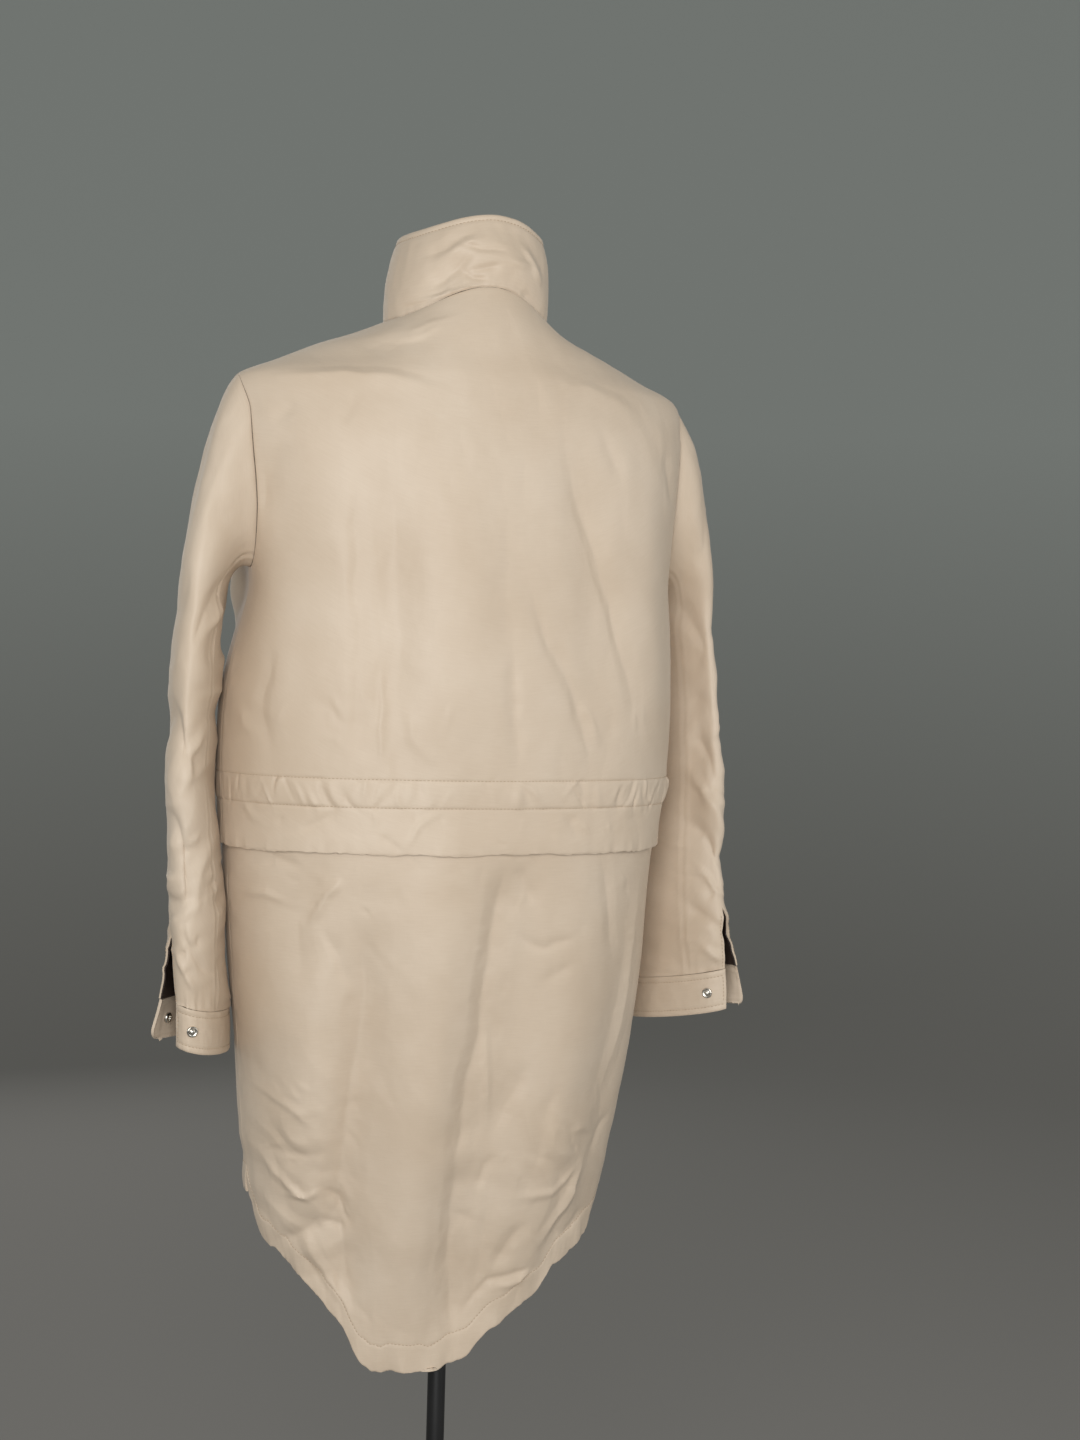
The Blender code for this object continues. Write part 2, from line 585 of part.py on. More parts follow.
def vent_turns(side, h, count):
    """Turns round the sleeve from the vent's back edge to its front edge."""
    open_share = min(max(1 - (h - CUFF_TOP_H[side]) / VENT_LENGTH, 0.0), 1.0)
    half = VENT_SPREAD[side] * open_share
    return spread(VENT_ANGLE[side] + half, VENT_ANGLE[side] + 2 * pi - half, count)


def flare(side, turn, h):
    """How far the sleeve's front edge beside the open vent stands out."""
    rise = min(max(1 - (h - CUFF_TOP_H[side]) / FLARE_RISE, 0.0), 1.4)
    from_end = (VENT_ANGLE[side] + 2 * pi - turn) / FLARE_WIDTH
    return CUFF_FLARE[side] * rise**2 * max(1 - from_end, 0.0) ** 2


def hanging_point(side, turn, h):
    """The sleeve below the armpit, with its flared vent edge."""
    return tube_point(side, turn, h, flare(side, turn, h))


def armhole_edge(side, turn, shrink):
    """The point of the coat's armhole at a turn, and the coat's normal there, for the left side."""
    centre, half = 0.5 * (SHOULDER_H + ARMPIT_H), 0.5 * (SHOULDER_H - ARMPIT_H)
    full_h = centre + half * cos(turn)
    h = centre + (half - shrink) * cos(turn)
    behind = sin(turn) >= 0
    wide = (ARMHOLE_BACK if behind else ARMHOLE_FRONT) - shrink
    lean = edge_angle(smooth_row(BODY, h), behind, wide * abs(sin(turn)))
    lean = lean if behind else -lean
    angle = lean if side == "left" else pi - lean
    point, normal = on_body(angle, h, 0.0), body_normal(angle, full_h)
    return mirrored(point, side), mirrored(normal, side)


def cap_point(side, turn, t):
    """The sleeve between the armhole (t 0) and the upper arm (t 1): it leaves the seam outwards and falls."""
    start, _ = armhole_edge(side, turn, 1.4 * SEAM_GAP)
    end = hanging_point(side, turn, SLEEVES[side][0].h)
    reach = (end - start).length
    c, s = cos(turn), sin(turn)
    leave = Vector((0.775 - 0.225 * c, 0.15 * s, -0.60 - 0.55 * c + 0.35 * c * c)) * reach
    fall = Vector((0, 0, -1.0)) * reach
    return (start * (2 * t**3 - 3 * t**2 + 1) + leave * (t**3 - 2 * t**2 + t)
            + end * (3 * t**2 - 2 * t**3) + fall * (t**3 - t**2))


def sleeve_rows(side, count):
    """Outer points of a whole sleeve, row by row from the armhole to the cuff seam."""
    rows = []
    turns = vent_turns(side, SHOULDER_H, count)
    for t in CAP_STEPS:
        rows.append([cap_point(side, turn, t) for turn in turns])
    vent_top, seam = CUFF_TOP_H[side] + VENT_LENGTH, CUFF_TOP_H[side] + 1.5 * SEAM_GAP
    arm = spread(SLEEVES[side][0].h, vent_top, ARM_ROWS)
    for h in arm + [0.5 * (vent_top + seam), seam]:
        rows.append([hanging_point(side, turn, h) for turn in vent_turns(side, h, count)])
    return rows, len(rows) - 2


def grid_normals(rows, wraps):
    """Unit normals of a grid of points that runs anticlockwise and downwards."""
    normals = []
    last_row, last_column = len(rows) - 1, len(rows[0]) - 1
    for i, row in enumerate(rows):
        line = []
        for j in range(len(row)):
            if i < wraps:
                left, right = row[(j - 1) % last_column], row[(j + 1) % last_column]
            else:
                left, right = row[max(j - 1, 0)], row[min(j + 1, last_column)]
            above, below = rows[max(i - 1, 0)][j], rows[min(i + 1, last_row)][j]
            line.append((right - left).cross(above - below).normalized())
        normals.append(line)
    return normals


def placed_grid(rows, normals, side, lift):
    """Rows moved along their normals and placed on their own side."""
    return [[mirrored(p + n * lift, side) for p, n in zip(row, line)] for row, line in zip(rows, normals)]


def folded_sleeve(side):
    """Outer points and normals of the whole sleeve with its folds, and how many rows are a closed tube."""
    rows, closed = sleeve_rows(side, SLEEVE_COLUMNS)
    normals = grid_normals(rows, closed)
    turns = vent_turns(side, SHOULDER_H, SLEEVE_COLUMNS)
    for j, turn in enumerate(turns):
        _, coat_normal = armhole_edge(side, turn, 0.0)
        normals[0][j] = (normals[0][j] + coat_normal).normalized()
    below_cap = len(CAP_STEPS)
    for row, line in zip(rows[below_cap:], normals[below_cap:]):
        for j, turn in enumerate(turns):
            around = (turn / (0.5 * pi)) % 4 * QUARTER_WIDTH
            row[j] = row[j] + line[j] * fold_height(SLEEVE_FOLDS, around, row[j].z)
    return rows, normals, closed


def build_sleeve(side, material, lining, collection):
    """A one-piece sleeve tube, open at both ends and along its vent, and the lining seen through it."""
    rows, normals, closed = folded_sleeve(side)
    outer = placed_grid(rows, normals, side, 0.0)
    inner = placed_grid(rows, normals, side, -CLOTH)
    add_wall(f"sleeve_{side}", outer, inner, material, collection, closed_rows=closed)
    lined = slice(closed - LINED_ROWS, None)
    depth = CLOTH + LAY_GAP
    outer = placed_grid(rows[lined], normals[lined], side, -depth)
    inner = placed_grid(rows[lined], normals[lined], side, -depth - LINING)
    add_wall(f"sleeve_lining_{side}", outer, inner, lining, collection, closed_rows=LINED_ROWS)


def cuff_rows(side, count):
    """Outer points of the open cuff band, from its seam down."""
    heights = spread(CUFF_TOP_H[side], CUFF_TOP_H[side] - CUFF_HEIGHT, CUFF_ROWS)
    return [[hanging_point(side, turn, h) for turn in vent_turns(side, h, count)] for h in heights]


def build_cuff(side, material, collection):
    """The band cuff, an open ring a little prouder than the sleeve."""
    rows = cuff_rows(side, CUFF_COLUMNS)
    normals = grid_normals(rows, 0)
    proud = 0.5 * (DOUBLE_CLOTH - CLOTH)
    outer = placed_grid(rows, normals, side, proud)
    inner = placed_grid(rows, normals, side, proud - DOUBLE_CLOTH)
    add_wall(f"cuff_{side}", outer, inner, material, collection)


# ---------------------------------------------------------------- snaps
def snap_seat(side, from_front_end):
    """Centre and outward normal of a snap on the cuff's outer face, for its own side."""
    h = CUFF_TOP_H[side] - 0.5 * CUFF_HEIGHT
    first, last = vent_turns(side, h, 1)
    turn = last if from_front_end else first
    step = radians(0.5) * (-1 if from_front_end else 1)
    start = hanging_point(side, turn, h)
    point = start
    while (point - start).length < SNAP_INSET:
        turn += step
        point = hanging_point(side, turn, h)

    def place(u, v):
        return hanging_point(side, u, v)
    normal = surface_normal(place, turn, h, radians(3), 0.004)
    return mirrored(point, side), mirrored(normal, side)


def add_turned(name, profile, radius, place, axis, material, collection):
    """A turned piece from its half-section (share of the radius, height), set along an axis."""
    data = bpy.data.meshes.new(name)
    mesh = bmesh.new()
    points = [mesh.verts.new((share * radius, 0.0, z)) for share, z in profile]
    for upper, lower in zip(points, points[1:]):
        mesh.edges.new((upper, lower))
    mesh.to_mesh(data)
    mesh.free()
    data.materials.append(material)
    item = bpy.data.objects.new(name, data)
    item.location = place
    item.rotation_euler = axis.to_track_quat("Z", "Y").to_euler()
    screw = item.modifiers.new("turn", "SCREW")
    screw.steps = screw.render_steps = SNAP_STEPS
    screw.use_merge_vertices = True
    screw.merge_threshold = 0.00005
    collection.objects.link(item)
    return item


def build_snaps(side, material, collection):
    """Stud on the back end of the cuff; cap outside and socket inside its front end."""
    outside = 0.5 * (DOUBLE_CLOTH - CLOTH) + SNAP_GAP
    inside = DOUBLE_CLOTH - 0.5 * (DOUBLE_CLOTH - CLOTH) + SNAP_GAP
    place, normal = snap_seat(side, from_front_end=False)
    add_turned(f"snap_stud_{side}", STUD_PROFILE, SNAP_RADIUS, place + normal * outside, normal, material,
               collection)
    place, normal = snap_seat(side, from_front_end=True)
    add_turned(f"snap_cap_{side}", CAP_PROFILE, SNAP_CAP_RADIUS, place + normal * outside, normal, material,
               collection)
    add_turned(f"snap_socket_{side}", SOCKET_PROFILE, SNAP_RADIUS, place - normal * inside, -normal,
               material, collection)


# ---------------------------------------------------------------- dress form and stand
def build_form(material, collection):
    """Smooth limbless torso whose shoulders carry the coat, with a plain neck stump."""
    angles = spread(0.0, 2 * pi, FORM_COLUMNS)[:-1]
    seat = -(CLOTH + SEAT_GAP)
    middle = Vector((0, NECK.centre, 0))
    rings = []
    for z, share in ((NECK_STUMP_TOP, 0.96), (NECK_STUMP_TOP - NECK_RIM, 1.0), (1.452, 1.03)):
        ring = [(ring_point(NECK, a) - middle) * share + middle for a in angles]
        rings.append([Vector((p.x, p.y, z)) for p in ring])
    rings.append([body_point(a, NECK_H) - Vector((cos(a), sin(a), 0.5)) * NECK_FOOT_INSET for a in angles])
    rings += [[body_point(a, h) + body_normal(a, h) * seat for a in angles] for h in CARRIED_HEIGHTS]
    rings += [[ring_point(smooth_row(FORM, h), a) for a in angles] for h in FORM_HEIGHTS]
    return add_loft("form_torso", rings, material, collection)


def build_stand(material, collection):
    """Pole from the base plate to just under the form, and the round base plate."""
    top = FORM_BOTTOM - SEAM_GAP
    foot = BASE_THICKNESS + SEAM_GAP
    curve = bpy.data.curves.new("stand_pole", "CURVE")
    curve.dimensions = "3D"
    curve.bevel_depth = POLE_RADIUS
    curve.bevel_resolution = 4
    curve.use_fill_caps = True
    line = curve.splines.new("POLY")
    line.points.add(1)
    for point, z in zip(line.points, (foot, top)):
        point.co = (0.0, 0.0, z, 1.0)
    curve.materials.append(material)
    collection.objects.link(bpy.data.objects.new("stand_pole", curve))

    bpy.ops.mesh.primitive_cylinder_add(vertices=BASE_SIDES, radius=BASE_RADIUS, depth=BASE_THICKNESS,
                                        location=(0, 0, 0.5 * BASE_THICKNESS))
    base = bpy.context.object
    base.name = base.data.name = "stand_base"
    bevel = base.modifiers.new("edge", "BEVEL")
    bevel.width = BASE_BEVEL
    base.data.materials.append(material)
    for holder in list(base.users_collection):
        holder.objects.unlink(base)
    collection.objects.link(base)


def main():
    """Build every piece of the coat, the form and the stand."""
    clear_scene()
    collection = bpy.data.collections.new("overcoat_on_dress_form")
    bpy.context.scene.collection.children.link(collection)
    materials = {name: make_material(name) for name in FINISHES}
    cloth, metal = materials["shell_cloth"], materials["snap_metal"]
    build_bodice(cloth, collection)
    build_skirt(cloth, collection)
    build_placket(cloth, collection)
    build_collar(cloth, collection)
    for side in ("left", "right"):
        build_sleeve(side, cloth, materials["lining_cloth"], collection)
        build_cuff(side, cloth, collection)
        build_snaps(side, metal, collection)
    build_form(materials["form_cover"], collection)
    build_stand(materials["black_steel"], collection)


main()
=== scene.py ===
"""Looks of a beige parka-style overcoat worn on a limbless dress form with a pole and a round base plate.

Metres, +Z up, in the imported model's own frame: the coat faces -Y and the wearer's left is +X. Each cloth piece
is a fine wall on the same body surface or sleeve tube as its solid, with the folds, creases, gathers and seams
that the solids leave out.
"""
from __future__ import annotations

import logging
from dataclasses import dataclass, field
from enum import Enum
from math import cos, pi, radians, sin
from typing import Any, Callable, Sequence

import bmesh
import bpy
import numpy as np
from bpy.types import Material, Mesh, Node, NodeTree, Object
from mathutils import Matrix, Vector


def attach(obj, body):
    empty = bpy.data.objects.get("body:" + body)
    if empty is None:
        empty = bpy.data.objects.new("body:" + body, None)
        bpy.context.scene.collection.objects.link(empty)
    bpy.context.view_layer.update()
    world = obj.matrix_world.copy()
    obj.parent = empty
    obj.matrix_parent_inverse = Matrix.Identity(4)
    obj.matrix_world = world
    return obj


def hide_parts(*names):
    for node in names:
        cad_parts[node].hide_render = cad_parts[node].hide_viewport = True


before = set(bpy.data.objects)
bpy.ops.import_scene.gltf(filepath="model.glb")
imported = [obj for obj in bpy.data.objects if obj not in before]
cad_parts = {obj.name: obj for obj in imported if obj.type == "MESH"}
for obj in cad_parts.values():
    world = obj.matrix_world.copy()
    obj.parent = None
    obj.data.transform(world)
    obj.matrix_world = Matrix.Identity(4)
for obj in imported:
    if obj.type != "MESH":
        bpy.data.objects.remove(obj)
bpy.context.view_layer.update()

Grid = np.ndarray
Run = tuple[Grid, Grid]                    # points and outward normals along a line
Profile = Sequence[tuple[float, float]]    # radii and heights
Settings = dict[str | int, Any]            # a node's attributes and inputs
Links = dict[str | int, tuple[Node, str | int]]
LOG = logging.getLogger("overcoat")

# -------- sizes shared by the pieces (metres)
MM = 1000                 # millimetres in a metre
CLOTH = 0.0016            # wall of shell cloth and body lining
DOUBLE_CLOTH = 0.0024     # wall of collar and cuffs
LINING = 0.001            # wall of the sleeve lining
SEAM_GAP = 0.0003         # between pieces that are sewn together
LAY_GAP = 0.0003          # between cloths that lie on each other
NECK_H = 1.415            # heights at the sides, from the floor
SHOULDER_H = 1.357
ARMPIT_H = 1.19
CASING_TOP_H = 1.009
CASING_BOTTOM_H = 0.985
FLAP_H = 0.945
SKIRT_TOP_H = 0.972
ARMHOLE_BACK = 0.04       # reach of the armhole behind and before the side
ARMHOLE_FRONT = 0.046
ARMHOLE_MIDDLE_H = 0.5 * (SHOULDER_H + ARMPIT_H)
ARMHOLE_HALF = 0.5 * (SHOULDER_H - ARMPIT_H)
CASING_MIDDLE_H = 0.5 * (CASING_TOP_H + CASING_BOTTOM_H)
CASING_PUFF = 0.001       # how far the casing swells
WAIST_RADIUS = 0.175      # turns an angle round the waist into a length
SKIRT_INSET = 0.003       # how far the skirt hangs inside the body surface
HEM_DEPTH = 0.025         # the turned-up hem, edge to stitch row
STITCH_PITCH = 0.0034     # a 3 mm stitch and its gap
THREAD_LIFT = 0.0001      # how far a stitch row's line lies above the cloth
WAVE_METRE = 0.31416      # scale of a wave texture that repeats once a metre
NEVER = 1e9               # farther than anything


class Side(Enum):
    """The wearer's two sides, with the sign of X."""

    LEFT = 1
    RIGHT = -1

    @property
    def word(self) -> str:
        """The side's name as the nodes spell it."""
        return self.name.lower()


# -------- smooth tables
class SmoothTable:
    """Rows of columns on smooth curves over a falling first column."""

    def __init__(self, rows: Sequence[Sequence[float]]) -> None:
        """Keep the rows as one array."""
        self.rows = np.array(rows, float)

    def at(self, h: Grid | float) -> Grid:
        """Columns of the table at heights.

        Args:
            h: Heights, one or an array.

        Returns:
            The heights' shape with one more axis, the columns.
        """
        rows = self.rows
        h = np.clip(np.asarray(h, float), rows[-1, 0], rows[0, 0])
        count = np.searchsorted(-rows[:, 0], -h, side="left")
        at = np.clip(count - 1, 0, len(rows) - 2)
        before, low = rows[np.maximum(at - 1, 0)], rows[at]
        high, after = rows[at + 1], rows[np.minimum(at + 2, len(rows) - 1)]
        span = (high - low)[..., :1]
        t = ((h - low[..., 0]) / span[..., 0])[..., None]
        slope_low = (high - before) / (high - before)[..., :1] * span
        slope_high = (after - low) / (after - low)[..., :1] * span
        return ((2 * t**3 - 3 * t**2 + 1) * low + (t**3 - 2 * t**2 + t) * slope_low
                + (3 * t**2 - 2 * t**3) * high + (t**3 - t**2) * slope_high)


def mm_table(*rows: tuple[float, ...]) -> SmoothTable:
    """A smooth table from rows in millimetres, but for their last column."""
    return SmoothTable([(*(value / MM for value in row[:-1]), row[-1]) for row in rows])


# Height at the sides, half-width, back and front edge, centre, drift, back rise, front drop, fullness.
BODY = mm_table(
    (1415, 73.5, 88, -60, 16, 5, 26, 34, 0.0), (1402, 104, 96, -73, 17, 5, 21, 27, -0.12),
    (1389, 139.5, 104, -85, 18, 5, 14, 19, -0.16), (1373, 175.5, 112, -96, 18, 5, 7, 10, -0.16),
    (1357, 209.5, 119, -105, 17, 6, 3, 3, -0.12), (1325, 214, 127, -114, 15, 5, 0, 0, 0.0),
    (1290, 212.5, 133, -121, 12, 5, 0, 0, 0.05), (1234, 205, 138, -129, 9, 3, 0, 0, 0.07),
    (1190, 201, 140, -134, 6, 1, 0, 0, 0.07), (1130, 205.5, 140, -138, 2, 0, 0, 0, 0.07),
    (1060, 210.5, 138, -141, 0, 2, 0, 0, 0.07), (1000, 209.5, 134, -142, -2, 4, 0, 0, 0.07),
    (945, 204, 134, -144, -4, 6, 0, 0, 0.07), (880, 200, 131, -143, -6, 6, 0, 0, 0.07),
    (811, 195.5, 124, -141, -8, 6, 0, 0, 0.07), (704, 183.5, 110, -136, -13, 8, 0, 0, 0.07),
    (612, 169, 94, -127, -17, 11, 0, 0, 0.07), (550, 156, 83, -118, -18, 13, 0, 0, 0.07),
    (480, 138, 72, -106, -18, 14, 0, 0, 0.07),
)
FORM = mm_table(
    (1350, 195, 109, -94, 17, 4, 2, 3, -0.12), (1310, 190, 113, -100, 15, 3, 0, 0, -0.04),
    (1250, 178, 116, -108, 10, 0, 0, 0, 0.05), (1180, 165, 114, -116, 5, 0, 0, 0, 0.05),
    (1100, 152, 104, -108, 2, 0, 0, 0, 0.05), (1010, 138, 92, -92, 0, 0, 0, 0, 0.05),
    (920, 152, 99, -98, -2, 0, 0, 0, 0.05), (840, 162, 101, -104, -4, 0, 0, 0, 0.05),
    (745, 150, 86, -100, -8, 0, 0, 0, 0.05),
)
COLLAR_HEAD = np.array((1.4925, 0.0655, 0.08, -0.06, 0.012, 0.0, 0.0135, 0.009, 0.0))
NECK = np.array((0, 0.056, 0.068, -0.046, 0.012, 0.005, 0.0, 0.0, 0.0))

# Angle round the coat (0 the wearer's left, 90 the back) and height of the shirt-tail hem.
HEM = SmoothTable((
    (360, 0.628), (335, 0.622), (305, 0.606), (270, 0.6), (235, 0.606), (205, 0.62), (182, 0.614),
    (167, 0.596), (151, 0.584), (137, 0.572), (127, 0.558), (122, 0.541), (112, 0.527), (103, 0.509),
    (95, 0.488), (88, 0.481), (76, 0.48), (63, 0.481), (56, 0.491), (50, 0.518), (36, 0.551),
    (20, 0.581), (9, 0.593), (0, 0.628),
))

# How far the left side falls in or out beside the sleeve.
LEFT_LEAN = SmoothTable((
    (1.26, 0.0), (1.215, -0.003), (1.18, -0.0075), (1.155, -0.0045), (1.117, 0.0026), (1.086, 0.0058),
    (1.06, 0.0062), (1.009, 0.005), (0.985, 0.0044), (0.96, 0.0036), (0.9, 0.0034), (0.85, 0.0022),
    (0.79, 0.0),
))

# Height, distance out, front-to-back place, half-thickness, half-depth, yaw in degrees.
SLEEVES = {
    Side.LEFT: mm_table(
        (1150, 242, 10, 20, 58, 16), (1100, 244.5, 8, 21.5, 64, 18), (1010, 245.5, 4, 21, 67, 19),
        (945, 242, 2, 22, 67, 20), (870, 235, -2, 23, 65, 22), (800, 229, -4, 22, 61, 25),
        (750, 227, -6, 21.5, 60, 26),
    ),
    Side.RIGHT: mm_table(
        (1150, 228, -20, 19, 58, 12), (1100, 232.5, -22, 20, 63, 12), (1010, 237, -20, 20.5, 65, 12),
        (945, 235, -14, 21.5, 65, 15), (870, 233, -6, 22, 64, 21), (800, 235, 2, 21.5, 62, 27),
        (750, 235, 3, 21, 61, 27),
    ),
}


# -------- folds, creases, unevenness
@dataclass(frozen=True)
class Fold:
    """A wide soft fold from one point to another, as in the solids; minus is a trough."""

    x0: float
    z0: float
    x1: float
    z1: float
    width: float
    height: float

    def relief(self, x: Grid, z: Grid) -> Grid:
        """Height of the fold over points of the cloth.

        Args:
            x: Places across the cloth.
            z: Heights.

        Returns:
            The fold's height at each place.
        """
        run_x, run_z = self.x1 - self.x0, self.z1 - self.z0
        t = np.clip(((x - self.x0) * run_x + (z - self.z0) * run_z) / (run_x**2 + run_z**2), 0, 1)
        away = np.hypot(x - self.x0 - t * run_x, z - self.z0 - t * run_z)
        return self.height * bell(away, self.width) * (0.35 + 0.65 * np.sin(pi * t))


def tent(t: Grid) -> Grid:
    """A crest with nearly flat flanks, a small round top and a soft foot, 1 at t = 0 and 0 from t = 1."""
    return np.clip(1 - (np.sqrt(t * t + 0.0036) - 0.06), 0, 1) ** 1.25


def bell(away: Grid, width: Grid | float) -> Grid:
    """1 in the middle of a bump and nearly 0 from twice its width."""
    return np.exp(-(away / width) ** 2)


def ebb(beyond: Grid, length: float) -> Grid:
    """1 up to an edge, then dying out over a length."""
    return np.exp(-np.clip(beyond, 0, None) / length)


@dataclass(frozen=True)
class Crease:
    """A crease along a bent line, with its own width on each side and ends that die out.

    Attributes:
        path: Points (across, up) along the line.
        width: Half-width of the side to the left of the path's direction.
        height: Height of the crest, minus for a trough.
        skew: Width of the other side over the first.
        ends: Share of the length over which each end dies out.
    """

    path: tuple[tuple[float, float], ...]
    width: float
    height: float
    skew: float = 1.0
    ends: float = 0.35

    def relief(self, x: Grid, z: Grid) -> Grid:
        """Height of the crease over points of the cloth.

        Args:
            x: Places across the cloth.
            z: Heights.

        Returns:
            The crease's height at each place.
        """
        points = np.array(self.path)
        runs = np.diff(points, axis=0)
        lengths = np.hypot(runs[:, 0], runs[:, 1])
        total = lengths.sum()
        best = np.full(x.shape, NEVER)
        along = np.zeros(x.shape)
        side = np.ones(x.shape)
        done = 0.0
        for (px, pz), (rx, rz), length in zip(points, runs, lengths):
            t = np.clip(((x - px) * rx + (z - pz) * rz) / length**2, 0, 1)
            ax, az = x - px - t * rx, z - pz - t * rz
            away = np.hypot(ax, az)
            near = away < best
            best = np.where(near, away, best)
            along = np.where(near, (done + t * length) / total, along)
            side = np.where(near, np.sign(rx * az - rz * ax), side)
            done += length
        reach = np.where(side >= 0, self.width, self.width * self.skew)
        fade = np.clip(np.minimum(along, 1 - along) / self.ends, 0, 1)
        fade = 0.12 + 0.88 * fade * fade * (3 - 2 * fade)
        sharp = 0.85 if self.height > 0 else 0.6
        return self.height * (sharp * tent(best / reach) + (1.05 - sharp) * bell(best, 1.5 * reach)) * fade


class Unevenness:
    """Smooth, repeatable hills and hollows from a seeded lattice."""

    def __init__(self, seed: int, size: int = 128) -> None:
        """Draw the lattice."""
        self.size = size
        self.lattice = np.random.default_rng(seed).uniform(-1, 1, (size, size))

    def cell(self, x: Grid, y: Grid) -> tuple[Grid, ...]:
        """Values at the corners of the cells that places lie in, and where in the cell.

        Args:
            x: Places across, in cells.
            y: Places up, in cells.

        Returns:
            The low left, low right, high left and high right values, then the shares across and up.
        """
        ix, iy = np.floor(x).astype(int), np.floor(y).astype(int)
        corners = [self.lattice[(ix + right) % self.size, (iy + up) % self.size] for up in (0, 1) for right in (0, 1)]
        return *corners, x - ix, y - iy

    def at(self, x: Grid, y: Grid) -> Grid:
        """Value between -1 and 1 at places whose unit is one lattice cell.

        Args:
            x: Places across, in cells.
            y: Places up, in cells.

        Returns:
            One value per place.
        """
        a, b, c, d, fx, fy = self.cell(x, y)
        fx, fy = fx * fx * (3 - 2 * fx), fy * fy * (3 - 2 * fy)
        return (a * (1 - fx) + b * fx) * (1 - fy) + (c * (1 - fx) + d * fx) * fy

    def facets(self, x: Grid, y: Grid) -> Grid:
        """Value between -1 and 1 that bends only along wandering lines, as crisp cloth creases into flats.

        Args:
            x: Places across, in cells.
            y: Places up, in cells.

        Returns:
            One value per place.
        """
        x, y = x + 0.8 * self.at(0.9 * x + 40, 0.9 * y), y + 0.8 * self.at(0.9 * x, 0.9 * y + 60)
        a, b, c, d, fx, fy = self.cell(x, y)
        return np.where(fx > fy, a + fx * (b - a) + fy * (d - b), a + fy * (c - a) + fx * (d - c))


NOISE = Unevenness(7)


def crumple(seed: int, count: int, low: tuple[float, float], high: tuple[float, float], slant: float, spread: float,
            length: tuple[float, float], height: float) -> tuple[Crease, ...]:
    """Small sharp creases strewn over a part of the cloth, as crisp cloth keeps them from packing.

    Args:
        seed: Seed of the draw.
        count: How many.
        low: Lowest across and up.
        high: Highest across and up.
        slant: Middle direction in degrees from level.
        spread: How far directions vary, in degrees.
        length: Shortest and longest.
        height: Height of the strongest.

    Returns:
        The creases.
    """
    draw = np.random.default_rng(seed)
    creases = []
    for _ in range(count):
        x, z = draw.uniform(low[0], high[0]), draw.uniform(low[1], high[1])
        turn = radians(slant + draw.uniform(-spread, spread))
        reach = draw.uniform(*length)
        bend = turn + draw.uniform(-0.6, 0.6)
        path = ((x, z), (x + 0.5 * reach * cos(turn), z + 0.5 * reach * sin(turn)),
                (x + 0.5 * reach * (cos(turn) + cos(bend)), z + 0.5 * reach * (sin(turn) + sin(bend))))
        creases.append(Crease(path, max(0.0024, reach * draw.uniform(0.09, 0.2)),
                              height * draw.uniform(0.3, 1) * draw.choice((-1, 1)), draw.uniform(0.7, 2.4), 0.5))
    return tuple(creases)


def fold_rows(*rows: tuple[float, ...]) -> tuple[Fold, ...]:
    """Folds from rows in millimetres: both ends across and up, the width and the height."""
    return tuple(Fold(*(value / MM for value in row)) for row in rows)


def crease_rows(*rows: tuple[Any, ...]) -> tuple[Crease, ...]:
    """Creases from rows in millimetres.

    Args:
        rows: The path (across, up, across, up and so on), the width, the height and, where they
            aren't a crease's usual ones, the skew and the ends.

    Returns:
        The creases in metres.
    """
    return tuple(Crease(tuple((x / MM, z / MM) for x, z in zip(path[::2], path[1::2])), width / MM, height / MM,
                        *shape) for path, width, height, *shape in rows)


# The photographed folds and creases by place on the cloth: across from the middle of the back, and height.
BACK_FOLDS = fold_rows(
    (115, 1250, 100, 1020, 22, -5), (45, 1290, 40, 1030, 40, 4), (-60, 1330, -95, 1040, 24, -4.5),
    (-140, 1260, -150, 1060, 26, 4), (50, 930, 66, 500, 34, 8.5), (115, 900, 118, 570, 24, -7.5),
    (160, 860, 145, 640, 22, 6), (-30, 920, 12, 520, 26, -7), (-90, 880, -60, 560, 30, 6),
    (-150, 900, -125, 620, 22, -5),
)
FRONT_FOLDS = fold_rows(
    (120, 1270, 110, 1030, 28, -4.5), (-125, 1270, -115, 1030, 28, -4.5), (110, 920, 95, 640, 28, -6),
    (60, 900, 55, 640, 24, 5), (-112, 920, -98, 640, 28, -6), (-60, 900, -52, 640, 24, 5),
)
